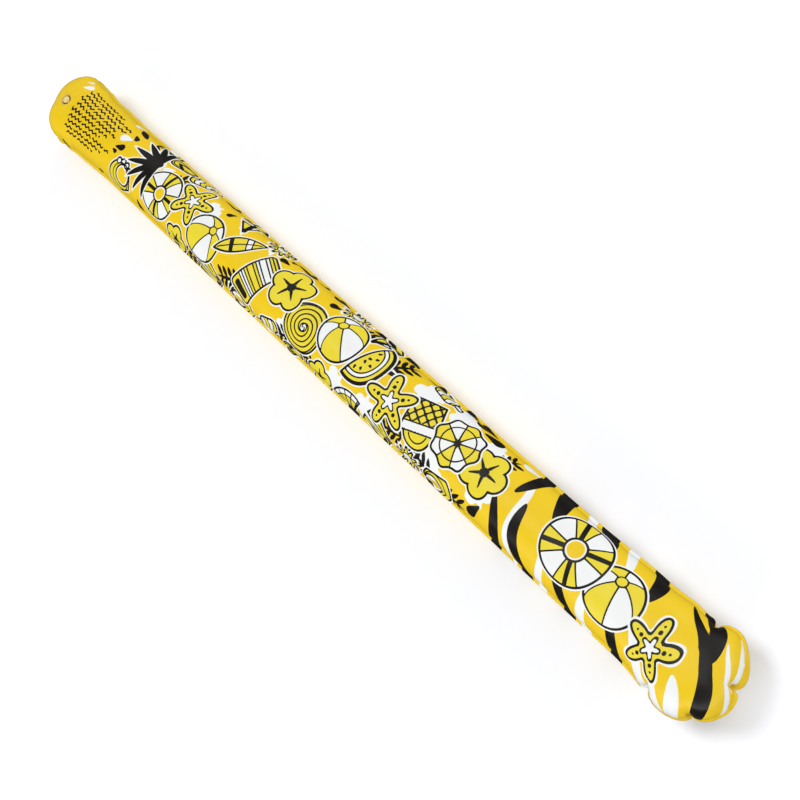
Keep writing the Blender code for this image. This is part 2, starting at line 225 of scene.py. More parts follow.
class ValveSizes(PropertyGroup):
    """Sizes of the soft push-in valve."""

    hole_radius: length("Hole radius", "Radius of the hole in the film", 0.0086)
    collar_radius: length("Collar radius", "Radius of the welded collar under the film", 0.0130)
    collar_inner: length("Collar opening", "Inner radius of the collar", 0.0080)
    collar_thick: length("Collar thickness", "Thickness of the collar", 0.0008)
    wall: length("Wall", "Thickness of the folded wall", 0.0005)
    stem_radius: length("Stem radius", "Outer radius of the mouthpiece", 0.0044)
    bore_radius: length("Bore radius", "Radius of the mouthpiece's bore", 0.0026)
    lip_radius: length("Lip", "Outer radius of the soft wall below its roll", 0.0071)
    foot_thick: length("Foot", "Height of the mouthpiece's foot ring", 0.0010)
    strap_thick: length("Strap", "Thickness of the strap", 0.0007)
    emboss: length("Emboss", "How far the collar shows through the film", 0.00030)
    crumple: length("Crumple", "Depth of the creases round the collar", 0.0010)
    steps: IntProperty(name="Steps", description="Steps round a turned piece", default=64, min=16,
                       max=256)


class StageSizes(PropertyGroup):
    """Camera, lamps and floor."""

    lens: FloatProperty(name="Lens", description="Focal length on a 36 mm sensor", default=54.0,
                        min=10.0, unit="CAMERA")
    rise: FloatProperty(name="Rise", description="Camera's angle above the floor",
                        default=radians(60.142), subtype="ANGLE")
    roll: FloatProperty(name="Roll", description="Camera's roll", default=radians(-47.859),
                        subtype="ANGLE")
    swing: FloatProperty(name="Swing", description="Camera's angle off the noodle's line",
                         default=radians(0.02), subtype="ANGLE")
    distance: length("Distance", "Camera's distance from its target", 1.370)
    target: FloatVectorProperty(name="Target", description="Point that the camera looks at",
                                default=(0.13498, 0.00093, 0.04), size=3, subtype="XYZ_LENGTH")
    sky_strength: FloatProperty(name="Sky", description="Scale of the tent's strengths", default=0.63,
                                min=0.0)
    floor_gloss: FloatProperty(name="Floor in the gloss", default=0.06, min=0.0,
                               description="Brightness of the floor where glossy film mirrors it")
    floor_lift: FloatProperty(name="Floor lift", default=0.06, min=0.0,
                              description="Added brightness of the floor as the camera sees it")
    floor_size: length("Floor", "Side of the square floor", 14.0)
    floor_colour: ink("Floor colour", "Colour of the floor", (0.90, 0.92, 0.98, 1.0))


# ---------------------------------------------------------------- shape of the film


def ease(value):
    """A soft step from nothing to one."""
    value = np.clip(value, 0.0, 1.0)
    return value * value * (3 - 2 * value)


def ripple(along, wave, start=0.0):
    """An uneven wave between about -1 and 1."""
    turn = 2 * pi * along / wave + start
    return (np.sin(turn) + 0.6 * np.sin(1.618 * turn + 1.3) + 0.4 * np.sin(0.414 * turn + 2.1)) / 1.7


class Noodle:
    """The welded strip: flat, and blown up."""

    def __init__(self, sizes):
        self.sizes = sizes
        low, high = (Vector(corner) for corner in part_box("front_panel"))
        self.length = high.x - low.x
        self.half = sizes.flat_width / 2
        self.tube = sizes.flat_width / pi
        self.seam = self.tube - sizes.rest_depth
        self.end = sizes.draw_in * self.half
        self.weld_face = sizes.film + sizes.weld_gap / 2
        self.head = RoundEnd(self, 1, sizes.head_flare, HEAD_PUCKERS, HEAD_SWELLS, HEAD_DROOPS,
                             HEAD_DENTS)
        self.tail = RoundEnd(self, -1, sizes.tail_flare, TAIL_PUCKERS, TAIL_SWELLS, TAIL_DROOPS,
                             TAIL_DENTS)
        reach = [end.outer(end.fan) * np.sin(end.fan) for end in (self.head, self.tail)]
        self.middle = -(np.max(reach) + np.min(reach)) / 2

    def bare_rim(self, flat):
        """Distance to the rim round the wide end, which the print leaves bare, below nothing on it."""
        ahead = flat[:, 0] - self.head.pole
        reach = np.hypot(np.maximum(ahead, 0.0), flat[:, 1])
        return np.maximum(self.half - reach, -ahead)

    def both_ends(self, flat, work):
        """Runs an end's own work on the points of its half of the strip."""
        x, y = flat[:, 0], flat[:, 1]
        tail_half = x <= 0
        first = work(self.tail, x[tail_half], y[tail_half])
        second = work(self.head, x[~tail_half], y[~tail_half])
        result = np.zeros((len(flat),) + first.shape[1:])
        result[tail_half] = first
        result[~tail_half] = second
        return result

    def blown_up(self, flat, up):
        """Where each point of the flat strip lies when the noodle is full of air."""
        return self.both_ends(flat, lambda end, x, y: end.blown_up(x, y, up))

    def wrinkles(self, flat):
        return self.both_ends(flat, lambda end, x, y: end.wrinkles(x, y))


def softened(table):
    """A table of degrees and values as a smooth curve: turns in radians and values."""
    turns, values = np.transpose(table)
    fine = np.arange(turns[0] - SOFTEN, turns[-1] + SOFTEN + 1)
    window = np.hanning(2 * SOFTEN + 1)
    rough = np.pad(np.interp(fine, turns, values), SOFTEN, "edge")
    return np.radians(fine), np.convolve(rough, window / window.sum(), "valid")


class RoundEnd:
    """One round end of the strip with the puckers that its weld draws into."""

    def __init__(self, noodle, side, flare, puckers, swells, droops, dents):
        self.noodle = noodle
        self.side = side
        self.flare = flare
        self.turns = np.radians([turn for turn, _ in puckers])
        self.depths = np.array([depth for _, depth in puckers]) * noodle.end
        self.swells = np.array(swells) * noodle.end
        self.droops = softened(droops)
        self.dents = softened(dents)
        self.fan = np.linspace(-pi / 2, pi / 2, FAN_STEPS)
        self.pole = side * (noodle.length / 2 - np.max(self.outer(self.fan) * np.cos(self.fan)))

    def pucker(self, turn, power=PUCKER_POWER):
        """How far the weld is drawn in at this turn. It is below nothing where a lobe swells."""
        first, last = self.turns[0], self.turns[-1]
        past = np.where(turn < 0, first - turn, turn - last) * self.noodle.end
        nearest = np.where(turn < 0, self.depths[0], self.depths[-1])
        fade = nearest * np.clip(1 - past / self.noodle.sizes.neck_fade, 0, 1) ** 2
        lobe = np.clip(np.searchsorted(self.turns, turn) - 1, 0, len(self.turns) - 2)
        start, stop = self.turns[lobe], self.turns[lobe + 1]
        along = np.clip((turn - start) / (stop - start), 0, 1)
        depth = self.depths[lobe] * (1 - along) + self.depths[lobe + 1] * along
        edge = np.abs(2 * along - 1)
        inside = depth * edge ** power - self.swells[lobe] * (1 - edge ** 2)
        return np.where((turn < first) | (turn > last), fade, inside)

    def outer(self, turn):
        return self.noodle.end - self.pucker(turn) + self.noodle.sizes.weld_width

    def nearest_pucker(self, turn):
        """Distance along the rim to the nearest pucker, and that pucker's number."""
        gaps = (turn[:, None] - self.turns[None, :]) * self.noodle.end
        number = np.argmin(np.abs(gaps), axis=1)
        return gaps[np.arange(len(turn)), number], number

    def droop(self, turn):
        """How far the weld rim hangs down out of level."""
        return np.radians(np.interp(turn, *self.droops))

    def polar(self, x, y):
        """Reach from the pole or the middle line, distance behind the pole, and turn."""
        ahead = self.side * (x - self.pole)
        round_part = ahead > 0
        reach = np.where(round_part, np.hypot(ahead, y), np.abs(y))
        behind = np.where(round_part, 0.0, -ahead)
        turn = np.where(round_part, np.arctan2(y, np.maximum(ahead, 0.0)),
                        np.sign(y) * (pi / 2 + behind / self.noodle.end))
        return reach, behind, turn, round_part

    def section(self, behind, turn):
        """Half width, height of the ridge over the seam, and power of the curve between them."""
        noodle = self.noodle
        slope = 1 - ease(behind / noodle.sizes.slope)
        half = noodle.tube + (noodle.end - noodle.tube) * (1 - ease(behind / self.flare))
        half = half * (1 - np.interp(turn, *self.dents))
        ridge = noodle.tube * (1 - (1 - noodle.sizes.pole_height) * slope)
        return half, ridge, TUBE_POWER + POLE_POWER * slope

    def height_at(self, x, y):
        """Top of the film over a point near the ridge."""
        noodle = self.noodle
        across = y - noodle.middle
        ahead = self.side * (x - self.pole)
        turn = np.arctan2(across, np.maximum(ahead, 0.0))
        half, ridge, power = self.section(np.maximum(-ahead, 0.0), turn)
        share = np.where(ahead > 0, np.hypot(ahead, across), np.abs(across)) / half
        curve = (1 - share ** power) ** (1 / power)
        return noodle.seam + noodle.weld_face + (ridge - noodle.weld_face) * curve

    def blown_up(self, x, y, up):
        noodle, sizes = self.noodle, self.noodle.sizes
        reach, behind, turn, round_part = self.polar(x, y)
        half, ridge, power = self.section(behind, turn)
        tilt = np.clip(reach / noodle.half, 0, 1) * pi / 2
        droop = self.droop(turn)
        half = half + sizes.weld_width * (1 - np.cos(droop)) * np.sin(tilt)
        past = np.maximum(reach - noodle.half, 0.0)
        share = reach / noodle.half
        sharp = PUCKER_POWER + SHARPER_POWER * ease((share - SHARPER_FROM) / (1 - SHARPER_FROM))
        sink = self.pucker(turn, sharp) * np.sin(tilt) ** SINK_POWER
        out = half * np.sin(tilt) ** (2 / power) - sink + past * np.cos(droop)
        curve = np.clip(np.cos(tilt), 0, 1) ** (2 / power)
        rise = noodle.weld_face + (ridge - noodle.weld_face) * curve

        gap, number = self.nearest_pucker(turn)
        near_rim = ease((share - RIM_FROM) / (1 - RIM_FROM))
        tuck = sizes.tuck * np.exp(-(gap / TUCK_REACH) ** 2) * np.where(number % 2 == 0, 1.0, TUCK_BACK)
        arc = np.where(round_part, 0.0, x) + turn * noodle.end * self.side
        wave = sizes.rim_wave * ripple(arc, RIM_WAVE_LENGTH, 1.0 + self.side)
        lift = (wave + tuck) * near_rim - past * np.sin(droop)

        along = np.where(round_part, self.pole + self.side * out * np.cos(turn), x)
        across = noodle.middle + np.where(round_part, out * np.sin(turn), np.sign(y) * out)
        high = np.maximum(noodle.seam + up * rise + lift, 0.0)
        return np.stack([along, across, high], axis=1)

    def wrinkles(self, x, y):
        """How far the skin sinks at each point of the flat strip: creases, wrinkles and sway."""
        noodle, sizes = self.noodle, self.noodle.sizes
        reach, behind, turn, _ = self.polar(x, y)
        inward = np.maximum(noodle.half - reach, 0.0)
        skin = ease(inward / WELD_SKIN)
        gap, number = self.nearest_pucker(turn)
        lean = gap - CREASE_LEAN * inward * np.where(number % 2 == 0, 1, -1)
        spread = sizes.crease_width + CREASE_WIDEN * inward
        share = self.depths[number] / (FULL_DEPTH_SHARE * noodle.end)
        crease = share * sizes.crease_depth * np.exp(-np.abs(lean / spread) ** CREASE_POWER)
        crease = crease * np.exp(-(inward / sizes.crease_reach) ** CREASE_FADE_POWER)
        arc = turn * noodle.end
        ends = SHAFT_WRINKLES + (1 - SHAFT_WRINKLES) * ease(1 - behind / END_WRINKLES_REACH)
        folds = sum(weight * ripple(arc, wave, start + self.side) * np.exp(-inward / reach_in)
                    for wave, reach_in, start, weight in WRINKLES)
        sway = sizes.sway * ripple(x, *SWAY_ALONG) * ripple(y, *SWAY_ACROSS)
        return (crease + sizes.wrinkle * ends * folds) * skin + sway


# ---------------------------------------------------------------- print


def disc(p, radius):
    return np.abs(p) - radius


def heading(turn):
    """A step of one in this direction, in radians."""
    return np.exp(1j * turn)


def slab(p, wide, tall, rounding=0.0):
    """Distance to a rounded rectangle of these half sizes."""
    out_x = np.abs(p.real) - wide + rounding
    out_y = np.abs(p.imag) - tall + rounding
    outside = np.hypot(np.maximum(out_x, 0), np.maximum(out_y, 0))
    return outside + np.minimum(np.maximum(out_x, out_y), 0) - rounding


def taper(p, near, far, reach):
    """Distance to a drop: a disc at the middle drawn out to a smaller one along +X."""
    lean = (near - far) / reach
    slant = sqrt(1 - lean * lean)
    x, y = p.real, np.abs(p.imag)
    k = x * slant - y * lean
    side = y * slant + x * lean - near
    tip = np.where(k > slant * reach, np.abs(p - reach) - far, side)
    return np.where(k < 0, np.abs(p) - near, tip)


def star(p, points, far, near):
    """Distance to a rounded star, near enough to draw lines by."""
    turn = np.angle(p)
    bulge = (1 + np.cos(points * turn)) / 2
    radius = near + (far - near) * bulge ** 1.3
    slope = (far - near) * 0.65 * points * np.sin(points * turn) * bulge ** 0.3
    return (np.abs(p) - radius) / np.sqrt(1 + (slope / radius) ** 2)


def sectors(p, count, start=0.0):
    """Distance to every other one of the sectors round a hub."""
    return np.abs(p) * np.sin(count * (np.angle(p) + start)) / count


def leaf(p, reach, half):
    """Distance to a leaf with two pointed ends."""
    radius = (reach * reach + half * half) / (2 * half)
    return np.maximum(np.abs(p - 1j * (radius - half)), np.abs(p + 1j * (radius - half))) - radius


def bands(p, pitch, start=0.0):
    """Distance to bands across Y."""
    return pitch / pi * np.sin(pi * p.imag / pitch + start)


def join(*distances):
    return np.minimum.reduce(distances)


def within(*distances):
    return np.maximum.reduce(distances)


def swim_ring(p, s):
    body = np.abs(np.abs(p) - 0.66 * s) - 0.34 * s
    straps = [within(body, np.abs((p * heading(turn)).imag) - 0.07 * s) for turn in (0.0, pi / 2)]
    return body, within(body, sectors(p, 4, pi / 8)), join(*straps), None


def beach_ball(p, s):
    """Six panels that meet at a cap to one side of the middle."""
    body = disc(p, s)
    deep = np.sqrt(np.maximum(s * s - np.abs(p) ** 2, (0.2 * s) ** 2))
    cap = 0.55 * heading(1.1)
    lean = np.abs(cap)
    side = (p * np.conj(cap) / lean).imag
    ahead = (p * np.conj(cap) / lean).real
    across = ahead * sqrt(1 - lean * lean) - deep * lean
    axial = ahead * lean + deep * sqrt(1 - lean * lean)
    round_cap = np.hypot(across, side) - 0.2 * s
    panels = np.hypot(across, side) * np.sin(3 * np.arctan2(side, across)) / 3
    round_cap = np.where(axial > 0, round_cap, FAR)
    return body, within(body, panels, -round_cap), None, round_cap


def sea_star(p, s):
    body = star(p, 5, s, 0.42 * s)
    spots = [disc(p - r * s * heading(2 * pi * i / 5), w * s)
             for i in range(5) for r, w in ((0.50, 0.075), (0.70, 0.05))]
    return body, star(p, 5, 0.36 * s, 0.16 * s), join(*spots), None


def shell(p, s):
    base = p + 0.85j * s
    spread = np.abs(np.angle(base / 1j)) - 0.78
    fan = within(np.abs(base) - 1.7 * s, spread * np.abs(base))
    foot = slab(p + 0.78j * s, 0.46 * s, 0.16 * s, 0.1 * s)
    ribs = within(fan, 0.4 * s - np.abs(base))
    return join(fan, foot), within(ribs, 1.35 * s - np.abs(base)), None, sectors(base / 1j, 9)


def ice_lolly(p, s):
    ice = slab(p - 0.22j * s, 0.5 * s, 0.78 * s, 0.42 * s)
    bite = disc(p - (0.5 + 0.95j) * s, 0.34 * s)
    ice = within(ice, -bite)
    stick = slab(p + 0.78j * s, 0.13 * s, 0.3 * s, 0.1 * s)
    wavy = p + 0.06j * s * np.sin(p.real * 9 / s)
    pale = join(within(ice, bands(wavy, 0.36 * s, 0.6)), within(stick, -ice))
    return join(ice, stick), pale, None, None


def air_bed(p, s):
    body = slab(p, 0.56 * s, s, 0.16 * s)
    pillow = slab(p - 0.74j * s, 0.40 * s, 0.14 * s, 0.1 * s)
    tubes = within(body, bands(p, 0.5 * s, pi / 2), p.imag - 0.5 * s)
    return body, tubes, pillow, np.where(p.imag < 0.5 * s, bands(p, 0.25 * s, pi / 2), FAR)


def sail_boat(p, s):
    hull = within(disc(p - 0.1j * s, 0.9 * s), p.imag + 0.25 * s)
    mast = slab(p - 0.3j * s, 0.05 * s, 0.72 * s)
    big = within(-p.real + 0.08 * s, 0.1 * s - p.imag, 0.83 * p.real + 0.55 * p.imag - 0.62 * s)
    small = within(p.real + 0.08 * s, 0.1 * s - p.imag, -0.87 * p.real + 0.5 * p.imag - 0.44 * s)
    trim = within(hull + 0.04 * s, -p.imag - 0.52 * s)
    return join(hull, mast, big, small), small, trim, None


def sandal(p, s):
    sole = taper(p / 1j + 0.62 * s, 0.36 * s, 0.48 * s, 1.1 * s)
    straps = [taper((p - 0.5j * s) * heading(0.5 * side) / -1j, 0.08 * s, 0.12 * s, 0.7 * s)
              for side in (-1, 1)]
    return sole, None, within(sole, join(*straps)), sole + 0.13 * s


def little_sun(p, s):
    return star(p, 11, s, 0.62 * s), disc(p, 0.46 * s), None, None


def wave_curl(p, s):
    hollow = disc(p - (0.34 + 0.12j) * s, 0.6 * s)
    body = within(disc(p, s), -hollow, -(p.imag + 0.72 * s))
    foam = join(*[disc(p - 0.97 * s * heading(turn), 0.17 * s) for turn in (0.3, 0.7, 1.1, 1.5)])
    stripe = disc(p - (0.17 + 0.06j) * s, 0.76 * s)
    return join(body, foam), foam, None, stripe


def melon(p, s):
    hub = p + 0.4j * s
    body = within(disc(hub, 1.1 * s), -hub.imag)
    flesh = within(disc(hub, 0.86 * s), -hub.imag + 0.02 * s)
    places = ((0.52, 0.35), (0.5, 0.85), (0.5, 1.57), (0.5, 2.25), (0.52, 2.8), (0.24, 1.2), (0.24, 2.0))
    pips = [taper(hub / heading(turn) - r * s, 0.06 * s, 0.03 * s, 0.09 * s) for r, turn in places]
    rind = within(body, s - np.abs(hub))
    return body, within(flesh, 0.70 * s - np.abs(hub)), join(*pips, rind), None


def parasol(p, s):
    body = star(p, 8, s, 0.88 * s)
    return body, within(body, sectors(p, 4, pi / 8)), disc(p, 0.1 * s), np.abs(p) - 0.66 * s


def rope_coil(p, s):
    pitch = 0.2 * s
    tail = taper((p - (0.75 - 0.5j) * s) / heading(-0.4), 0.11 * s, 0.09 * s, 0.55 * s)
    turns = pitch / pi * np.sin(pi * np.abs(p) / pitch + np.angle(p))
    return join(disc(p, s), tail), disc(p, 0.16 * s), None, np.where(np.abs(p) < s, turns, FAR)


def beach_bag(p, s):
    bag = within(np.abs(p.imag + 0.3 * s) - 0.6 * s, np.abs(p.real) - 0.72 * s - 0.2 * p.imag)
    handle = within(disc(p - 0.25j * s, 0.6 * s), -p.imag + 0.25 * s)
    rim = within(bag, np.abs(p.imag - 0.14 * s) - 0.16 * s)
    first, second = (bands(p * heading(turn), 0.27 * s) for turn in (0.8, -0.8))
    weave = first * second / np.hypot(first, second)
    inside = np.where(p.imag > 0.3 * s, disc(p - 0.25j * s, 0.38 * s), FAR)
    return join(bag, handle), rim, None, np.where(p.imag < -0.02 * s, weave, inside)


def surfboard(p, s):
    body = leaf(p, 1.25 * s, 0.36 * s)
    pale = within(body, np.abs(p.real - 0.5 * s) - 0.14 * s)
    dark = within(body, np.abs(p.real + 0.35 * s) - 0.10 * s)
    return body, pale, dark, np.where(np.abs(p.real) < 1.1 * s, p.imag, FAR)


def flower(p, s):
    ways = [heading(2 * pi * i / 5) for i in range(5)]
    petals = [disc(p - 0.56 * s * way, 0.44 * s) for way in ways]
    veins = [taper(p / way - 0.2 * s, 0.07 * s, 0.03 * s, 0.4 * s) for way in ways]
    return join(*petals), None, join(disc(p, 0.15 * s), *veins), None


def palm_fan(p, s):
    blades = [leaf((p + 0.6 * s) * heading(-turn) - 0.78 * s, 0.78 * s, 0.10 * s)
              for turn in (-1.5, -1.1, -0.7, -0.3, 0.1, 0.5, 0.9, 1.3)]
    body = join(*blades, disc(p + 0.6 * s, 0.1 * s))
    return body, None, body, None


def swim_fins(p, s):
    fins, ribs, feet = [], [], []
    for side in (-1, 1):
        q = (p - 0.44 * side * s) * heading(0.14 * side)
        fins.append(within(np.abs(q.imag) - s, np.abs(q.real) - 0.3 * s - 0.1 * q.imag))
        ribs.append(q.real)
        feet.append(slab(q + 0.72j * s, 0.12 * s, 0.2 * s, 0.1 * s))
    rib = np.where(p.real > 0, ribs[1], ribs[0])
    return join(*fins), None, join(*feet), np.where(p.imag > -0.3 * s, rib, FAR)


MOTIFS = {
    "ring": swim_ring, "ball": beach_ball, "star": sea_star, "shell": shell, "lolly": ice_lolly,
    "bed": air_bed, "boat": sail_boat, "sandal": sandal, "sun": little_sun,
    "curl": wave_curl, "melon": melon, "parasol": parasol, "coil": rope_coil, "bag": beach_bag,
    "board": surfboard, "flower": flower, "palm": palm_fan, "fins": swim_fins,
}

# Motifs along the strip: kind, then millimetres along and across from the middle, size and turn.
# Each set lies over the one before.
LOW = (
    ("curl", -404, -34, 24, 30), ("sandal", -336, 46, 23, 96), ("lolly", -290, 50, 23, 120),
    ("flower", -266, -48, 22, 0), ("fins", -190, -52, 23, 70), ("boat", -184, 50, 24, 200),
    ("sun", -126, 54, 19, 10), ("curl", -120, -54, 22, 160), ("lolly", -66, -50, 23, -70),
    ("sandal", -14, -54, 21, 110), ("sun", 26, 52, 19, 0), ("flower", 40, -52, 22, 20),
    ("boat", 84, 52, 23, 150), ("shell", 92, -52, 21, 20), ("fins", 146, -52, 22, 60),
    ("lolly", 190, 50, 23, 75), ("sun", 198, -54, 18, 0), ("curl", 248, -52, 22, 190),
)
MIDDLE = (
    ("ring", -318, -10, 33, 0), ("ball", -214, -14, 31, 0), ("bed", -110, -8, 34, 155),
    ("coil", -6, -12, 31, 60), ("melon", 96, 8, 32, 250), ("bag", 198, -4, 33, 200),
    ("flower", 292, 4, 29, 0), ("ball", 482, -2, 31, 40),
)
TOP = (
    ("palm", -372, 12, 32, 200), ("star", -266, 12, 33, 12), ("board", -162, 10, 29, 40),
    ("flower", -58, 14, 31, 30), ("ball", 44, 10, 31, 70), ("star", 148, -8, 34, 40),
    ("parasol", 246, 8, 31, 0), ("ring", 422, 8, 38, 20), ("star", 540, -12, 29, 24),
)

# Black and white shapes on the ground: kind, along, across, size and turn
DARK_SPOTS = (
    ("leaf", -428, 42, 15, -24), ("drop", -420, 24, 4, 150), ("drop", -424, 2, 5, 200),
    ("drop", -430, -8, 3, 170), ("drop", -458, -54, 4, 20), ("frond", -378, 50, 24, 20),
    ("frond", -306, 22, 24, 60), ("frond", -236, -56, 26, 0), ("drop", -214, 32, 4, 60),
    ("drop", -292, 62, 5, 10), ("frond", -150, -34, 24, 200), ("drop", -150, 60, 5, 190),
    ("drop", -104, 36, 5, 0), ("drop", -96, 46, 3, 40), ("frond", -36, -42, 24, 200),
    ("drop", -2, 34, 5, 20), ("drop", -44, 60, 6, 190), ("frond", 8, -44, 20, 200),
    ("drop", 60, 62, 7, 185), ("frond", 64, 40, 22, 30), ("drop", 110, 62, 7, 10),
    ("frond", 126, 34, 24, 60), ("frond", 166, -34, 22, 190), ("drop", 168, 60, 8, 190),
    ("drop", 214, 62, 7, 0), ("frond", 214, -36, 24, 160), ("drop", 272, 46, 8, 190),
    ("frond", 300, 30, 20, 60), ("frond", 272, -50, 24, 0), ("drop", -548, -60, 5, 100),
    ("drop", -352, -54, 6, 120), ("drop", -232, 58, 8, 190), ("drop", -70, 57, 9, 190),
    ("drop", -14, 57, 9, 10), ("drop", 241, 57, 10, 10),
    ("drop", 302, -42, 7, 60),
)
PALE_SPOTS = (
    ("drop", -561, 31, 5, 222), ("drop", -572, 40, 3, 222), ("drop", -452, 48, 5, 40),
    ("drop", -436, 14, 6, 20), ("drop", -392, 62, 6, 20), ("drop", -340, 20, 5, 40),
    ("splash", -236, 20, 16, 60), ("drop", -182, 32, 6, 100), ("splash", -134, -34, 17, 30),
    ("drop", -126, 36, 5, 300), ("splash", -32, -30, 16, 0), ("drop", 2, 56, 6, 190),
    ("splash", 66, -38, 18, 50), ("splash", 122, -36, 18, 90), ("drop", 128, 20, 6, 20),
    ("splash", 176, 30, 20, 10), ("splash", 226, 40, 20, 60), ("splash", 232, -32, 20, 0),
    ("splash", 280, 26, 22, 40), ("splash", 300, -14, 20, 70), ("drop", 316, 52, 8, 0),
)
# Tapered wavy stripes across the head, in millimetres: along, middle and reach across, half width,
# wave, slant and ink
STRIPES = (
    (318, -60, 60, 8.0, 9, -0.36, "dark"), (332, 62, 52, 8.0, 7, 0.10, "dark"),
    (346, -14, 60, 5.0, 8, -0.30, "pale"), (352, -66, 76, 8.5, 10, -0.46, "dark"),
    (384, 64, 50, 11.0, 6, -0.20, "dark"), (386, -62, 62, 5.5, 8, -0.42, "pale"),
    (414, 62, 46, 6.0, 8, -0.16, "pale"), (414, -66, 70, 8.5, 9, -0.46, "dark"),
    (446, 64, 48, 12.0, 7, -0.26, "dark"), (448, -64, 66, 6.5, 8, -0.40, "pale"),
    (478, 62, 44, 6.5, 7, -0.26, "pale"), (482, -62, 62, 8.0, 8, -0.46, "dark"),
    (514, 60, 44, 9.5, 7, -0.30, "dark"), (514, -58, 70, 8.5, 7, -0.62, "pale"),
    (540, -60, 44, 7.5, 6, -0.60, "pale"), (562, -52, 40, 8.0, 6, -0.60, "pale"),
    (586, -20, 74, 8.0, 8, -0.80, "dark"), (590, 44, 34, 9.0, 5, -0.50, "dark"),
    (618, -10, 44, 5.5, 5, -0.85, "pale"), (628, 36, 30, 6.0, 4, -0.50, "pale"),
)
STRIPE_WAVE = 15
# Rows of small waves near the tail, in millimetres: how far across the first row lies, and where each
# row starts and ends. It is broken into stretches of uneven length with a gap between them.
ROWS_TOP = 34.0
ROW_ENDS = ((-548, -470), (-554, -438), (-552, -442), (-556, -452), (-552, -446), (-554, -458),
            (-550, -470), (-546, -440), (-548, -456), (-540, -474))
SHORT_STRETCH = 18
STRETCH_SPREAD = 23
STRETCH_GAP = 3

BACK_DARK = (
    ("leaf", -520, 20, 18, 30), ("drop", -470, -24, 7, 60), ("leaf", -380, -10, 20, 70),
    ("drop", -300, 30, 8, 200), ("leaf", -210, -24, 20, 20), ("drop", -120, 20, 7, 100),
    ("leaf", -30, -8, 21, 50), ("drop", 60, 26, 8, 250), ("leaf", 150, -20, 20, 80),
    ("drop", 235, 16, 8, 140),
)
BACK_PALE = (
    ("splash", -560, -12, 10, 0), ("drop", -430, 22, 8, 30), ("splash", -340, -30, 14, 40),
    ("splash", -255, 12, 14, 10), ("drop", -160, -6, 8, 160), ("splash", -75, 34, 14, 70),
    ("splash", 15, 8, 14, 20), ("drop", 105, -30, 8, 20), ("splash", 195, 24, 14, 0),
)

# Strength of the tent round the compass from +X through +Y, at heights given as sines
SKY = (
    (0.17, (1.8, 2.2, 0.3, 0.25, 0.6, 0.15, 1.8, 2.3)),
    (0.53, (0.65, 1.2, 0.95, 0.7, 0.05, 0.05, 0.75, 0.5)),
    (0.76, (0.75, 0.9, 0.85, 0.9, 0.05, 0.6, 0.5, 0.3)),
    (0.86, (0.8, 0.8, 0.8, 1.1, 1.0, 1.1, 0.4, 0.2)),
    (0.96, (1.7, 1.6, 1.4, 1.6, 2.2, 1.6, 1.2, 1.2)),
)
SKY_TOP = 4.0
# Name, direction, strength and angle in degrees
LAMPS = (("key", (-0.55, -0.14, 0.83), 1.38, 26), ("fill_left", (0.1, 1.0, 0.25), 1.4, 50),
         ("fill_right", (0.1, -1.0, 0.25), 1.4, 50))


def spot(kind, p, s):
    if kind == "drop":
        return taper(p, s, 0.25 * s, 2.2 * s)
    if kind == "leaf":
        return leaf(p, s, 0.34 * s) + 0.35 * np.sin(p.real / s * 5)
    if kind == "splash":
        return star(p * heading(0.25 * np.sin(3 * np.angle(p))), 6, s, 0.68 * s)
    leaves = [leaf((p - along * s) * heading(-turn) - 0.4 * s, 0.4 * s, 0.12 * s)
              for along in (-0.9, -0.5, -0.1, 0.3) for turn in (-0.9, 0.9)]
    return join(leaf(p, s, 0.09 * s), *leaves)


def local(p, along, across, turn):
    """The same points measured from a motif's own middle and turn."""
    return (p - (along + 1j * across)) * heading(-radians(turn))


def stripe_edges(p, kind):
    """Distance to the head's stripes of one ink."""
    edges = []
    for along, middle, reach, half, wave, slant, which in STRIPES:
        if which != kind:
            continue
        turn = p.imag / STRIPE_WAVE + along
        line = along + 0.5 * wave * np.sin(turn) + slant * p.imag
        slope = 0.5 * wave * np.cos(turn) / STRIPE_WAVE + slant
        taper_off = np.sqrt(np.clip(1 - ((p.imag - middle) / reach) ** 2, 0, 1))
        ends = np.abs(p.imag - middle) - reach
        sides = (np.abs(p.real - line) - half * taper_off) / np.sqrt(1 + slope ** 2)
        edges.append(np.maximum(sides, ends))
    return join(*edges)


def wave_rows(p, pitch):
    """Distance to the stretches of the rows of small waves."""
    stretches = []
    for number, (start, stop) in enumerate(ROW_ENDS):
        place, step = start, 5 * number
        while place < stop:
            step += 7
            reach = min(SHORT_STRETCH + step % STRETCH_SPREAD, stop - place) / 2
            middle = place + reach + 1j * (ROWS_TOP - pitch * number)
            stretches.append(slab(p - middle, reach, 0.46 * pitch))
            place += 2 * reach + STRETCH_GAP
    return join(*stretches)


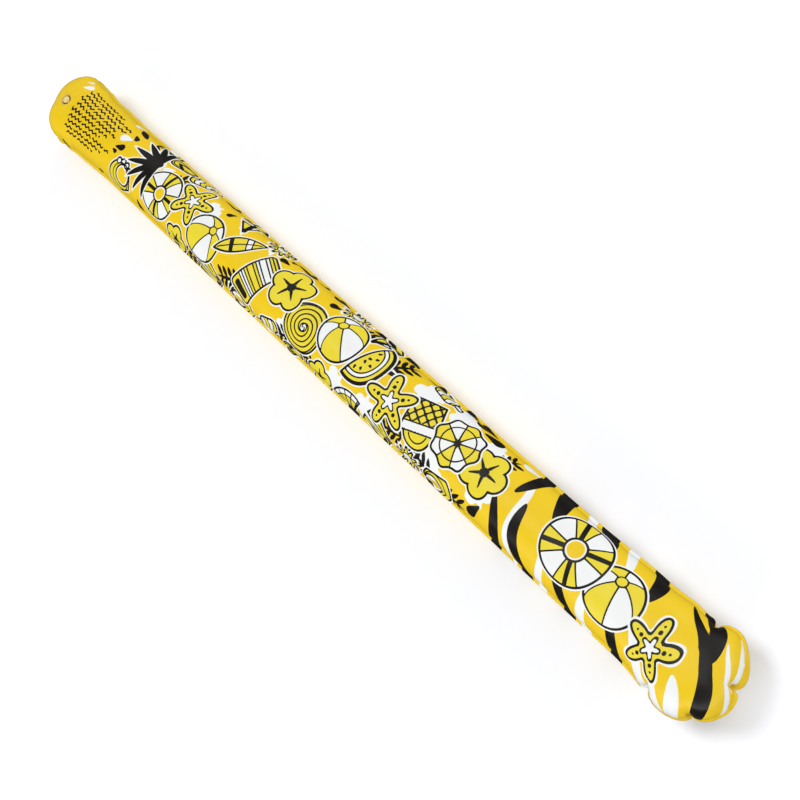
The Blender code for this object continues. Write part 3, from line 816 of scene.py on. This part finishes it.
def print_layers(flat, front, pitch):
    """Distances in metres to the edges of the print's layers, below nothing inside them."""
    p = (flat[:, 0] + 1j * flat[:, 1]) / MM
    names = ["pale", "dark", "rows"] + [level + part for level in LEVELS for part in PARTS]
    layers = {name: np.full(len(p), FAR) for name in names}

    def lay(where, name, distance):
        if distance is not None:
            layers[name][where] = np.minimum(layers[name][where], distance)

    everywhere = slice(None)
    for name, spots in (("dark", DARK_SPOTS if front else BACK_DARK),
                        ("pale", PALE_SPOTS if front else BACK_PALE)):
        for kind, along, across, size, turn in spots:
            near = np.abs(p - along - 1j * across) < 2.6 * size + 6
            lay(near, name, spot(kind, local(p[near], along, across, turn), size))
        lay(everywhere, name, stripe_edges(p, name))
    if front:
        lay(everywhere, "rows", wave_rows(p, pitch / MM))
        for level, motifs in zip(LEVELS, (LOW, MIDDLE, TOP)):
            for kind, along, across, size, turn in motifs:
                near = np.abs(p - along - 1j * across) < 1.4 * size + 8
                body, detail, ink, line = MOTIFS[kind](local(p[near], along, across, turn), size)
                lay(near, level + "_body", body)
                lay(near, level + "_detail", detail)
                lay(near, level + "_ink", ink)
                if line is not None:
                    ours = body < 3.0
                    layers[level + "_line"][np.flatnonzero(near)[ours]] = line[ours]
    return {name: layer * MM for name, layer in layers.items()}


# ---------------------------------------------------------------- meshes


def flat_sheet(noodle):
    """The strip before it is blown up: a grid between the poles and half a disc spun round each."""
    sizes = noodle.sizes
    tail, head = noodle.tail.pole, noodle.head.pole
    half = noodle.half + sizes.weld_width
    sheet = bmesh.new()
    cells = round((head - tail) / sizes.cell)
    bmesh.ops.create_grid(sheet, x_segments=cells, y_segments=2 * sizes.rows, size=0.5)
    bmesh.ops.scale(sheet, vec=(head - tail, 2 * half, 1), verts=sheet.verts)
    bmesh.ops.translate(sheet, vec=((head + tail) / 2, 0, 0), verts=sheet.verts)
    for pole, side in ((tail, -1), (head, 1)):
        spoke = [edge for edge in sheet.edges
                 if all(abs(v.co.x - pole) < TOUCH and v.co.y < TOUCH for v in edge.verts)]
        ends = list({v for edge in spoke for v in edge.verts})
        bmesh.ops.spin(sheet, geom=ends + spoke, cent=(pole, 0, 0), axis=(0, 0, 1),
                       angle=side * pi, steps=sizes.turns)
    bmesh.ops.remove_doubles(sheet, verts=sheet.verts, dist=10 * TOUCH)
    return sheet


def respaced(noodle, co):
    """Moves the rows so that one lies on the weld line, with three across the rim."""
    sizes = noodle.sizes
    half = noodle.half + sizes.weld_width
    rows = sizes.rows
    even = np.linspace(0, half, rows + 1)
    wanted = np.concatenate([np.linspace(0, noodle.half, rows + 1 - len(RIM_ROWS)),
                             noodle.half + sizes.weld_width * np.array(RIM_ROWS)])
    flat = co[:, :2].copy()
    for end in (noodle.tail, noodle.head):
        ahead = end.side * (flat[:, 0] - end.pole)
        ours = ahead > TOUCH
        reach = np.hypot(ahead[ours], flat[ours, 1])
        grow = np.interp(reach, even, wanted) / np.maximum(reach, TOUCH)
        flat[ours, 0] = end.pole + end.side * ahead[ours] * grow
        flat[ours, 1] *= grow
    shaft = (co[:, 0] >= noodle.tail.pole - TOUCH) & (co[:, 0] <= noodle.head.pole + TOUCH)
    flat[shaft, 1] = np.sign(co[shaft, 1]) * np.interp(np.abs(co[shaft, 1]), even, wanted)
    return flat


def points_of(mesh):
    co = np.empty(len(mesh.vertices) * 3)
    mesh.vertices.foreach_get("co", co)
    return co.reshape(-1, 3)


def set_points(mesh, co):
    mesh.vertices.foreach_set("co", co.ravel())
    mesh.update()


def normals_of(mesh):
    out = np.empty(len(mesh.vertices) * 3)
    mesh.vertex_normals.foreach_get("vector", out)
    return out.reshape(-1, 3)


def piece(name, mesh, body, slot, material, *nodes):
    """Links a finished mesh as a piece that stands for CAD nodes, and rides on a body if one is given."""
    made = bpy.data.objects.new(name, mesh)
    bpy.context.scene.collection.objects.link(made)
    mesh.materials.append(material)
    if body is not None:
        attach(made, body)
    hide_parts(*nodes)
    return made


def film_panel(noodle, name, up, pitch, valve=None):
    """One panel of film, blown up, wrinkled and given the edge that shows at its rim."""
    sizes = noodle.sizes
    sheet = flat_sheet(noodle)
    if up < 0:
        bmesh.ops.reverse_faces(sheet, faces=sheet.faces)
    mesh = bpy.data.meshes.new(name)
    sheet.to_mesh(mesh)
    sheet.free()
    flat = respaced(noodle, points_of(mesh))
    place = noodle.blown_up(flat, up)
    set_points(mesh, place)
    sink = noodle.wrinkles(flat)
    if valve is not None:
        sink = valve.sink(place, sink)
    low = place[:, 2] < TOUCH
    place = place - normals_of(mesh) * sink[:, None]
    place[low, 2] = 0.0
    place[:, 2] = np.maximum(place[:, 2], 0.0)
    set_points(mesh, place)
    layers = print_layers(flat, up > 0, pitch)
    layers["bare"] = noodle.bare_rim(flat)
    for layer, distance in layers.items():
        values = mesh.attributes.new(layer, "FLOAT", "POINT")
        values.data.foreach_set("value", distance.astype(np.float32))
    strip = mesh.attributes.new("strip", "FLOAT_VECTOR", "POINT")
    strip.data.foreach_set("vector", np.pad(flat, ((0, 0), (0, 1))).astype(np.float32).ravel())
    trim = bmesh.new()
    trim.from_mesh(mesh)
    if valve is not None:
        valve.cut(trim)
    rim = [edge for edge in trim.edges if edge.is_boundary]
    grown = bmesh.ops.extrude_edge_only(trim, edges=rim)["geom"]
    corners = [item for item in grown if isinstance(item, bmesh.types.BMVert)]
    bmesh.ops.translate(trim, vec=(0, 0, -up * sizes.film), verts=corners)
    trim.to_mesh(mesh)
    trim.free()
    mesh.shade_smooth()
    mesh.set_sharp_from_angle(angle=SHARP_FILM)
    return mesh


class Valve:
    """Places of the valve's pieces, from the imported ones."""

    def __init__(self, noodle, sizes):
        self.noodle = noodle
        self.sizes = sizes
        low, high = (Vector(corner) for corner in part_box("valve_stem"))
        self.x, self.y = (low.x + high.x) / 2, (low.y + high.y) / 2
        self.stem_top, self.stem_foot = high.z, low.z
        low, high = (Vector(corner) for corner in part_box("valve_diaphragm"))
        self.cup_radius = (high.x - low.x) / 2
        self.cup_top, self.cup_foot = high.z, low.z
        low, high = (Vector(corner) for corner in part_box("valve_plug"))
        self.cap_radius = (high.y - low.y) / 2
        self.cap_top, self.spigot_foot = high.z, low.z
        self.tab_out = high.x - self.x
        low, high = (Vector(corner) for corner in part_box("check_flap"))
        self.flap_radius = (high.y - low.y) / 2
        self.flap_out = self.x - low.x
        self.flap_top, self.flap_foot = high.z, low.z
        self.strap_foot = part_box("plug_strap")[0][2]
        self.strap_half = (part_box("plug_strap")[1][1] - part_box("plug_strap")[0][1]) / 2

    def sink(self, place, sink):
        """The collar shows through the film as a low ring, and the film crumples round it."""
        sizes = self.sizes
        dx, dy = place[:, 0] - self.x, place[:, 1] - self.y
        away = np.hypot(dx, dy)
        turn = np.arctan2(dy, dx)
        over = ease((sizes.collar_radius + RING_SOFT / 2 - away) / RING_SOFT)
        around = ease((away - sizes.hole_radius) / CREASES_BEGIN)
        around = around * ease((CREASES_END - away) / CREASES_FADE)
        creases = sum(weight * ripple(turn, 2 * pi / count, start)
                      for count, start, weight in COLLAR_CREASES)
        sink = sink * ease((away - sizes.collar_radius) / CREASES_FADE)
        top = place[:, 2] > self.noodle.seam
        crumpled = sizes.crumple * creases * around * (1 - over)
        return np.where(top, sink - sizes.emboss * over + crumpled, sink)

    def cut(self, shape):
        """Opens the film over the valve and draws the hole's edge round."""
        top = [f for f in shape.faces if f.calc_center_median().z > self.noodle.seam]
        centre = Vector((self.x, self.y))
        radius = self.sizes.hole_radius
        inside = [f for f in top if (f.calc_center_median().xy - centre).length < radius]
        bmesh.ops.delete(shape, geom=inside, context="FACES")
        for vert in shape.verts:
            away = vert.co.xy - centre
            if vert.is_boundary and away.length < 1.3 * radius:
                vert.co.xy = centre + away.normalized() * radius


def turned(outline, steps, closed=True, rounding=(), round_off=0.0):
    """A turned shape from (radius, height) points, with some of its corners rounded."""
    shape = bmesh.new()
    points = [shape.verts.new((radius, 0.0, z)) for radius, z in outline]
    loop = points + points[:1] if closed else points
    for first, second in zip(loop, loop[1:]):
        shape.edges.new((first, second))
    if rounding:
        bmesh.ops.bevel(shape, geom=[points[i] for i in rounding], offset=round_off, segments=4,
                        profile=0.5, affect="VERTICES", material=-1)
    bmesh.ops.spin(shape, geom=shape.verts[:] + shape.edges[:], cent=(0, 0, 0), axis=(0, 0, 1),
                   angle=2 * pi, steps=steps, use_merge=True)
    bmesh.ops.remove_doubles(shape, verts=shape.verts, dist=TOUCH)
    bmesh.ops.recalc_face_normals(shape, faces=shape.faces)
    return shape


def band(path, width, thick):
    """A flat band of this width, in the XZ plane along a path, with its edges rounded."""
    shape = bmesh.new()
    rows = [[shape.verts.new((x, side * width / 2, z)) for side in (-1, 1)] for x, z in path]
    for (a, b), (c, d) in zip(rows, rows[1:]):
        shape.faces.new((a, b, d, c))
    bmesh.ops.recalc_face_normals(shape, faces=shape.faces)
    for vert in shape.verts:
        vert.co -= vert.normal * thick / 2
    bmesh.ops.solidify(shape, geom=shape.faces[:], thickness=-thick)
    shape.normal_update()
    edges = [e for e in shape.edges if len(e.link_faces) == 2 and e.calc_face_angle() > radians(60)]
    bmesh.ops.bevel(shape, geom=edges, offset=0.3 * thick, segments=3, profile=0.5, affect="EDGES",
                    material=-1)
    bmesh.ops.recalc_face_normals(shape, faces=shape.faces)
    return shape


def finished(name, shape):
    """A smooth mesh of a bmesh, which is freed."""
    mesh = bpy.data.meshes.new(name)
    shape.to_mesh(mesh)
    shape.free()
    mesh.shade_smooth()
    mesh.set_sharp_from_angle(angle=SHARP_VALVE)
    return mesh


# ---------------------------------------------------------------- materials


class Tree:
    """Adds nodes and links to a node tree in few words."""

    def __init__(self, tree):
        self.tree = tree

    def add(self, kind, inputs=None, **settings):
        node = self.tree.nodes.new(kind)
        for name, value in settings.items():
            setattr(node, name, value)
        for key, value in (inputs or {}).items():
            if isinstance(value, bpy.types.NodeSocket):
                self.tree.links.new(value, node.inputs[key])
            else:
                node.inputs[key].default_value = value
        return node

    def math(self, operation, *values):
        return self.add("ShaderNodeMath", dict(enumerate(values)), operation=operation).outputs[0]

    def mix(self, factor, first, second):
        node = self.add("ShaderNodeMix", data_type="RGBA")
        for key, value in ((0, factor), (6, first), (7, second)):
            if isinstance(value, bpy.types.NodeSocket):
                self.tree.links.new(value, node.inputs[key])
            else:
                node.inputs[key].default_value = value
        return node.outputs[2]


def new_group(name, inputs, outputs):
    """A shader node group with these sockets, given as name, kind and any default."""
    group = bpy.data.node_groups.new(name, "ShaderNodeTree")
    for way, sockets in (("INPUT", inputs), ("OUTPUT", outputs)):
        for title, kind, *value in sockets:
            made = group.interface.new_socket(title, in_out=way, socket_type="NodeSocket" + kind)
            if value:
                made.default_value = value[0]
    return group


def ink_colours(sizes):
    return {"Ground": sizes.yellow, "Fill": sizes.lemon, "White": sizes.white, "Black": sizes.black}


def inks_group(sizes):
    """Lays the print's layers over each other, from the distances stored on the film."""
    if "noodle_inks" in bpy.data.node_groups:
        return bpy.data.node_groups["noodle_inks"]
    colours = ink_colours(sizes)
    group = new_group("noodle_inks", [(name, "Color", value) for name, value in colours.items()],
                      [("Colour", "Color"), ("Black mask", "Float")])
    t = Tree(group)
    given = t.add("NodeGroupInput")
    ground, fill, white, black = (given.outputs[name] for name in colours)

    def edge_of(layer):
        return t.add("ShaderNodeAttribute", attribute_name=layer).outputs["Fac"]

    def under(value, limit):
        """One where the value is under the limit, with the ink's soft edge."""
        return t.add("ShaderNodeMapRange", {
            "Value": value, "From Min": limit + sizes.edge, "From Max": limit - sizes.edge,
        }).outputs["Result"]

    def inside(layer, grow=0.0):
        """One inside the layer's edge, grown by this much."""
        return under(edge_of(layer), grow)

    def line(layer, width):
        """One on a line along the layer's edge."""
        return under(t.math("ABSOLUTE", edge_of(layer)), width / 2)

    def over(colour, factor, ink):
        return t.mix(factor, colour, ink)

    def left_of(mask, cover):
        """What is left of a mask under a cover."""
        return t.math("MULTIPLY", mask, t.math("SUBTRACT", 1.0, cover))

    place = t.add("ShaderNodeSeparateXYZ", {
        0: t.add("ShaderNodeAttribute", attribute_name="strip").outputs["Vector"]})
    phase = t.math("MULTIPLY", place.outputs["X"], 2 * pi / sizes.small_wave)
    swing = t.math("MULTIPLY", t.math("SINE", phase), sizes.small_height)
    across = t.math("ADD", t.math("SUBTRACT", place.outputs["Y"], ROWS_TOP * MM), swing)
    away = t.math("MULTIPLY", t.math("PINGPONG", across, sizes.row_pitch / 2), 0.75)
    waves = under(away, sizes.small_stroke / 2)
    dark = t.math("MAXIMUM", inside("dark"), t.math("MULTIPLY", waves, inside("rows")))
    colour = over(ground, inside("pale"), white)
    colour = over(colour, dark, black)
    mask = dark
    for level in LEVELS:
        body, detail = level + "_body", level + "_detail"
        key = inside(body, sizes.outline / 2 + sizes.keyline)
        drawn = t.math("MULTIPLY", line(level + "_line", sizes.fine_line), inside(body))
        lines = t.math("MAXIMUM", line(body, sizes.outline), line(detail, sizes.fine_line))
        top = t.math("MAXIMUM", t.math("MAXIMUM", lines, drawn), inside(level + "_ink"))
        colour = over(colour, key, white)
        colour = over(colour, inside(body), fill)
        colour = over(colour, inside(detail), white)
        colour = over(colour, top, black)
        mask = t.math("MAXIMUM", top, left_of(mask, key))
    bare = inside("bare")
    t.add("NodeGroupOutput", {"Colour": over(colour, bare, ground), "Black mask": left_of(mask, bare)})
    return group


def skin_group():
    """Fine unevenness of soft film: a normal and a roughness."""
    if "film_skin" in bpy.data.node_groups:
        return bpy.data.node_groups["film_skin"]
    group = new_group("film_skin",
                      [("Roughness", "Float", 0.3), ("Depth", "Float", 0.00003), ("Ink", "Float", 0.0)],
                      [("Roughness", "Float"), ("Normal", "Vector")])
    t = Tree(group)
    given = t.add("NodeGroupInput")
    place = t.add("ShaderNodeTexCoord").outputs["Object"]
    grain = t.add("ShaderNodeTexNoise", {"Vector": place, "Scale": 900.0, "Detail": 3.0})
    drift = t.add("ShaderNodeTexNoise", {"Vector": place, "Scale": 22.0, "Detail": 2.0})
    height = t.math("ADD", t.math("MULTIPLY", grain.outputs["Fac"], 0.15),
                    t.math("ADD", t.math("MULTIPLY", drift.outputs["Fac"], 12.0),
                           t.math("MULTIPLY", given.outputs["Ink"], 0.3)))
    bump = t.add("ShaderNodeBump", {
        "Height": t.math("MULTIPLY", height, given.outputs["Depth"]), "Strength": 1.0, "Distance": 1.0,
    })
    spread = t.math("MULTIPLY_ADD", drift.outputs["Fac"], 0.12, -0.06)
    rough = t.math("ADD", given.outputs["Roughness"], spread)
    t.add("NodeGroupOutput", {"Roughness": rough, "Normal": bump.outputs["Normal"]})
    return group


def empty_material(name):
    """A new material with its tree and its shader."""
    made = bpy.data.materials.new(name)
    made.use_nodes = True
    return made, Tree(made.node_tree), made.node_tree.nodes["Principled BSDF"]


def coat(t, shader, colour, skin, ior):
    """Gives a shader its colour and the film's skin."""
    skin = t.add("ShaderNodeGroup", skin, node_tree=skin_group())
    t.tree.links.new(colour, shader.inputs["Base Color"])
    for name in ("Roughness", "Normal"):
        t.tree.links.new(skin.outputs[name], shader.inputs[name])
    shader.inputs["IOR"].default_value = ior


def film_material(name, sizes, roughness):
    made, t, shader = empty_material(name)
    inks = t.add("ShaderNodeGroup", ink_colours(sizes), node_tree=inks_group(sizes))
    skin = {"Roughness": roughness, "Ink": inks.outputs["Black mask"]}
    coat(t, shader, inks.outputs["Colour"], skin, 1.45)
    return made


def vinyl_material():
    name = "clear_vinyl_painted_light"
    if name in bpy.data.materials:
        return bpy.data.materials[name]
    made, t, shader = empty_material(name)
    place = t.add("ShaderNodeTexCoord").outputs["Object"]
    # Painted light: the clear vinyl is given the yellow of the film that shows through it, and paler
    # spots strewn at random stand in for highlights.
    painted_highlight_spots = t.add("ShaderNodeTexNoise", {"Vector": place, "Scale": 260.0, "Detail": 2.0})
    colour = t.mix(painted_highlight_spots.outputs["Fac"], (0.82, 0.60, 0.11, 1.0), (0.87, 0.74, 0.40, 1.0))
    coat(t, shader, colour, {"Roughness": 0.26, "Depth": 0.00001}, 1.5)
    shader.inputs["Transmission Weight"].default_value = 0.08
    return made


# ---------------------------------------------------------------- operators


def noodle_and_valve(context):
    noodle = Noodle(context.scene.noodle_film)
    return noodle, Valve(noodle, context.scene.noodle_valve)


class NOODLE_OT_film(Operator):
    """Makes the printed front panel and the back panel"""

    bl_idname = "noodle.film"
    bl_label = "Film panels"

    def execute(self, context):
        noodle, valve = noodle_and_valve(context)
        inks = context.scene.noodle_print
        front = film_panel(noodle, "printed_front", 1, inks.row_pitch, valve)
        front = piece("printed_front", front, "noodle", "printed_film",
                      film_material("printed_film_fine", inks, 0.24), "front_panel")
        back = film_panel(noodle, "film_back", -1, inks.row_pitch)
        back = piece("film_back", back, "noodle", "back_film",
                     film_material("back_film_fine", inks, 0.26), "back_panel")
        return {"FINISHED"}


def valve_piece(name, shape, valve, body, node):
    bmesh.ops.translate(shape, vec=(valve.x, valve.y, 0), verts=shape.verts)
    return piece(name, finished(name, shape), body, "valve_vinyl", vinyl_material(), node)


class NOODLE_OT_valve_seat(Operator):
    """Makes the collar welded under the film and the soft folding cup inside it"""

    bl_idname = "noodle.valve_seat"
    bl_label = "Valve collar and cup"

    def execute(self, context):
        noodle, valve = noodle_and_valve(context)
        sizes = context.scene.noodle_valve
        inner, outer, hole = sizes.collar_inner, sizes.collar_radius, sizes.hole_radius
        under = -1.15 * noodle.sizes.film
        thick = sizes.collar_thick
        collar = turned([
            (inner, -1.7 * thick), (inner, 0.1 * thick), ((inner + hole) / 2, 0.3 * thick),
            (hole - 0.05 * MM, 0.05 * thick), (hole, under), (outer, under),
            (outer, under - 0.5 * thick), (hole, under - thick),
        ], sizes.steps, rounding=(1, 2, 3, 5, 6), round_off=0.12 * thick)
        for vert in collar.verts:
            vert.co.z += noodle.tail.height_at(valve.x + vert.co.x, valve.y + vert.co.y)
        valve_piece("valve_collar", collar, valve, "noodle", "valve_flange")

        wall = sizes.wall
        foot = sizes.foot_thick + valve.stem_foot
        rim = valve.cup_radius
        floor_in = sizes.stem_radius + CUP_CLEARANCE
        drop = valve.cup_top - foot
        bulge = []
        for down in (i / CUP_STEPS for i in range(CUP_STEPS + 1)):
            swell = 0.25 * wall * sin(3 * pi * down) ** 2
            bulge.append((rim - (rim - sizes.lip_radius) * min(1.0, 4 * down) + swell,
                          valve.cup_top - (drop - wall) * down ** 1.5))
        outline = [(r - 0.9 * wall, z) for r, z in reversed(bulge)] + bulge
        outline += [(rim - 2.6 * wall, valve.cup_foot), (floor_in, valve.cup_foot),
                    (floor_in, valve.cup_foot + wall), (rim - 4.0 * wall, valve.cup_foot + wall)]
        last = len(outline) - 1
        cup = turned(outline, sizes.steps, rounding=(CUP_STEPS, CUP_STEPS + 1, last - 3, last),
                     round_off=0.4 * wall)
        made = valve_piece("valve_cup", cup, valve, "noodle", "valve_diaphragm")
        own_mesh(made)
        return {"FINISHED"}


class NOODLE_OT_mouthpiece(Operator):
    """Makes the mouthpiece, the strap on it and the leaf that closes it"""

    bl_idname = "noodle.mouthpiece"
    bl_label = "Mouthpiece, strap and leaf"

    def execute(self, context):
        _, valve = noodle_and_valve(context)
        sizes = context.scene.noodle_valve
        bore, radius = sizes.bore_radius, sizes.stem_radius
        top, foot = valve.stem_top, valve.stem_foot
        wide, waist = radius + FOOT_FLANGE, radius - STEM_WAIST
        slope = STEM_LIP + STEM_TAPER
        stem = turned([
            (bore, foot), (bore, top), (radius, top), (radius, top - STEM_LIP),
            (waist, top - slope), (waist, foot + slope),
            (radius, foot + sizes.foot_thick), (wide, foot + sizes.foot_thick), (wide, foot),
        ], sizes.steps, rounding=(1, 2, 3, 6, 7, 8), round_off=STEM_ROUND)
        valve_piece("valve_mouthpiece", stem, valve, "stem", "valve_stem")

        thick = sizes.strap_thick
        out = valve.tab_out - thick / 2
        low, high = valve.strap_foot + thick / 2, valve.cap_top - thick / 2
        bend = STRAP_BEND
        path = [(radius - STRAP_SUNK, low), (out - bend, low)]
        path += [(out - bend + bend * sin(a), low + bend - bend * cos(a))
                 for a in np.linspace(0.3, pi / 2, 5)]
        path += [(out, z) for z in np.linspace(low + 1.6 * bend, high - 1.3 * bend, 6)]
        path += [(out - bend * (1 - cos(a)), high - bend + bend * sin(a))
                 for a in np.linspace(0.2, pi / 2, 6)]
        path += [(out - 1.5 * bend, high), (valve.cap_radius - bend, high)]
        strap = band(path, 2 * valve.strap_half, thick)
        strap = valve_piece("stopper_strap", strap, valve, None, "plug_strap")
        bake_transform(strap)

        half = (valve.flap_top - valve.flap_foot) / 2
        mid = (valve.flap_top + valve.flap_foot) / 2
        flap = turned([(0, mid - half), (valve.flap_radius, mid - half), (valve.flap_radius, mid + half),
                       (0.6 * valve.flap_radius, mid + half), (0.5 * valve.flap_radius, mid + 0.4 * half),
                       (0, mid + 0.4 * half)],
                      sizes.steps, closed=False, rounding=(1, 2), round_off=0.6 * half)
        tab = band([(-valve.flap_out, mid), (-0.8 * valve.flap_radius, mid)], TAB_WIDTH, 1.6 * half)
        join_shapes(flap, tab)
        valve_piece("valve_leaf", flap, valve, "flap", "check_flap")
        return {"FINISHED"}


def join_shapes(shape, other):
    """Puts another bmesh's faces into a shape."""
    spare = bpy.data.meshes.new("spare")
    other.to_mesh(spare)
    other.free()
    shape.from_mesh(spare)
    bpy.data.meshes.remove(spare)


class NOODLE_OT_stopper(Operator):
    """Makes the stopper that closes the mouthpiece"""

    bl_idname = "noodle.stopper"
    bl_label = "Stopper"

    def execute(self, context):
        _, valve = noodle_and_valve(context)
        sizes = context.scene.noodle_valve
        top, radius = valve.cap_top, valve.cap_radius
        under = valve.stem_top + CAP_LIFT
        spigot = sizes.bore_radius - SPIGOT_SLACK
        foot = valve.spigot_foot
        neck, nose, tip = (spigot - thinner for thinner in SPIGOT_THINNER)
        cap = turned([
            (0, top - CAP_DISH), (0.55 * radius, top - CAP_DISH), (0.72 * radius, top), (radius, top),
            (radius, under), (spigot, under), (neck, under - SPIGOT_NECK), (nose, foot + SPIGOT_NOSE),
            (tip, foot), (0, foot),
        ], sizes.steps, closed=False, rounding=(1, 2, 3, 4, 7, 8), round_off=CAP_ROUND)
        valve_piece("valve_stopper", cap, valve, "plug", "valve_plug")
        return {"FINISHED"}


class NOODLE_OT_stage(Operator):
    """Sets the floor, lamps and camera"""

    bl_idname = "noodle.stage"
    bl_label = "Stage"

    def execute(self, context):
        sizes = context.scene.noodle_stage
        shape = bmesh.new()
        bmesh.ops.create_grid(shape, x_segments=1, y_segments=1, size=sizes.floor_size / 2)
        floor = bpy.data.objects.new("floor", finished("floor", shape))
        context.scene.collection.objects.link(floor)
        floor.data.materials.append(floor_material(sizes))
        for lamp in LAMPS:
            matt_lamp(*lamp)
        context.scene.world = studio_world(sizes)
        context.scene.view_settings.view_transform = "Standard"
        camera(context, sizes)
        return {"FINISHED"}


def studio_world(sizes):
    """A pale tent of uneven strength."""
    world = bpy.data.worlds.new("studio")
    world.use_nodes = True
    t = Tree(world.node_tree)
    ray = t.add("ShaderNodeSeparateXYZ", {0: t.add("ShaderNodeTexCoord").outputs["Generated"]})
    round_half = t.math("ARCTAN2", ray.outputs["Y"], ray.outputs["X"])
    compass = t.math("MULTIPLY_ADD", round_half, 1 / (2 * pi), 0.5)
    strength = 0.0
    for number, (rise, values) in enumerate(SKY):
        ring = t.add("ShaderNodeValToRGB", {"Fac": compass})
        stops = ring.color_ramp.elements
        turned_values = values[4:] + values[:5]
        while len(stops) < len(turned_values):
            stops.new(0.5)
        for place, value in enumerate(turned_values):
            stops[place].position = place / 8
            stops[place].color = (value / SKY_TOP, value / SKY_TOP, value / SKY_TOP, 1.0)
        if number == 0:
            strength = ring.outputs["Color"]
            continue
        above = t.add("ShaderNodeMapRange", {"Value": ray.outputs["Z"], "From Min": SKY[number - 1][0],
                                             "From Max": rise}).outputs["Result"]
        strength = t.mix(above, strength, ring.outputs["Color"])
    shade = world.node_tree.nodes["Background"]
    shade.inputs["Color"].default_value = (1, 1, 1, 1)
    world.node_tree.links.new(t.math("MULTIPLY", strength, SKY_TOP * sizes.sky_strength),
                              shade.inputs["Strength"])
    return world


def floor_material(sizes):
    """Matt, a little brighter to the camera, and dim where the film mirrors it."""
    made, t, shader = empty_material("pale_floor")
    made.node_tree.nodes.remove(shader)
    path = t.add("ShaderNodeLightPath")
    matt = t.add("ShaderNodeBsdfDiffuse", {"Color": sizes.floor_colour})
    lift = t.add("ShaderNodeEmission", {
        "Color": (1, 1, 1, 1),
        "Strength": t.math("MULTIPLY", path.outputs["Is Camera Ray"], sizes.floor_lift)})
    both = t.add("ShaderNodeAddShader", {0: matt.outputs[0], 1: lift.outputs[0]})
    mirrored = t.add("ShaderNodeEmission", {"Color": (1, 1, 1, 1), "Strength": sizes.floor_gloss})
    shown = t.add("ShaderNodeMixShader", {0: path.outputs["Is Glossy Ray"], 1: both.outputs[0],
                                          2: mirrored.outputs[0]})
    made.node_tree.links.new(shown.outputs[0], made.node_tree.nodes["Material Output"].inputs[0])
    return made


def matt_lamp(name, direction, strength, angle):
    """A far lamp that lights matt colour and leaves no highlight."""
    data = bpy.data.lights.new(name, "SUN")
    data.energy = strength
    data.angle = radians(angle)
    made = bpy.data.objects.new(name, data)
    bpy.context.scene.collection.objects.link(made)
    made.visible_glossy = False
    made.rotation_mode = "QUATERNION"
    made.rotation_quaternion = (-Vector(direction)).to_track_quat("-Z", "Y")


def camera(context, sizes):
    data = bpy.data.cameras.new("photo_camera")
    data.lens = sizes.lens
    data.sensor_width = 36.0
    made = bpy.data.objects.new("photo_camera", data)
    context.scene.collection.objects.link(made)
    level = cos(sizes.rise)
    back = Vector((level * cos(sizes.swing), level * sin(sizes.swing), sin(sizes.rise)))
    right = Vector((0, 0, 1)).cross(back).normalized()
    up = back.cross(right)
    right_rolled = cos(sizes.roll) * right + sin(sizes.roll) * up
    up_rolled = cos(sizes.roll) * up - sin(sizes.roll) * right
    turn = Matrix((right_rolled, up_rolled, back)).transposed().to_4x4()
    turn.translation = Vector(sizes.target) + back * sizes.distance
    made.matrix_world = turn
    context.scene.camera = made


class NOODLE_PT_panel(Panel):
    """Lists the noodle's pieces and their sizes"""

    bl_idname = "NOODLE_PT_panel"
    bl_label = "Pool noodle"
    bl_space_type = "VIEW_3D"
    bl_region_type = "UI"
    bl_category = "Noodle"

    def draw(self, context):
        for made in STEPS:
            self.layout.operator(made.bl_idname)
        for name in GROUPS:
            box = self.layout.box()
            settings = getattr(context.scene, name)
            for key in settings.bl_rna.properties.keys():
                if key not in {"rna_type", "name"}:
                    box.prop(settings, key)


GROUPS = {
    "noodle_film": FilmSizes, "noodle_print": PrintSizes, "noodle_valve": ValveSizes,
    "noodle_stage": StageSizes,
}
STEPS = (NOODLE_OT_film, NOODLE_OT_valve_seat, NOODLE_OT_mouthpiece, NOODLE_OT_stopper,
         NOODLE_OT_stage)
CLASSES = (*GROUPS.values(), *STEPS, NOODLE_PT_panel)


def register():
    for made in CLASSES:
        bpy.utils.register_class(made)
    for name, group in GROUPS.items():
        setattr(bpy.types.Scene, name, PointerProperty(type=group))


def unregister():
    for name in GROUPS:
        delattr(bpy.types.Scene, name)
    for made in reversed(CLASSES):
        bpy.utils.unregister_class(made)


def main():
    register()
    bpy.ops.noodle.film()
    bpy.ops.noodle.valve_seat()
    bpy.ops.noodle.mouthpiece()
    bpy.ops.noodle.stopper()
    bpy.ops.noodle.stage()


if __name__ == "__main__":
    main()
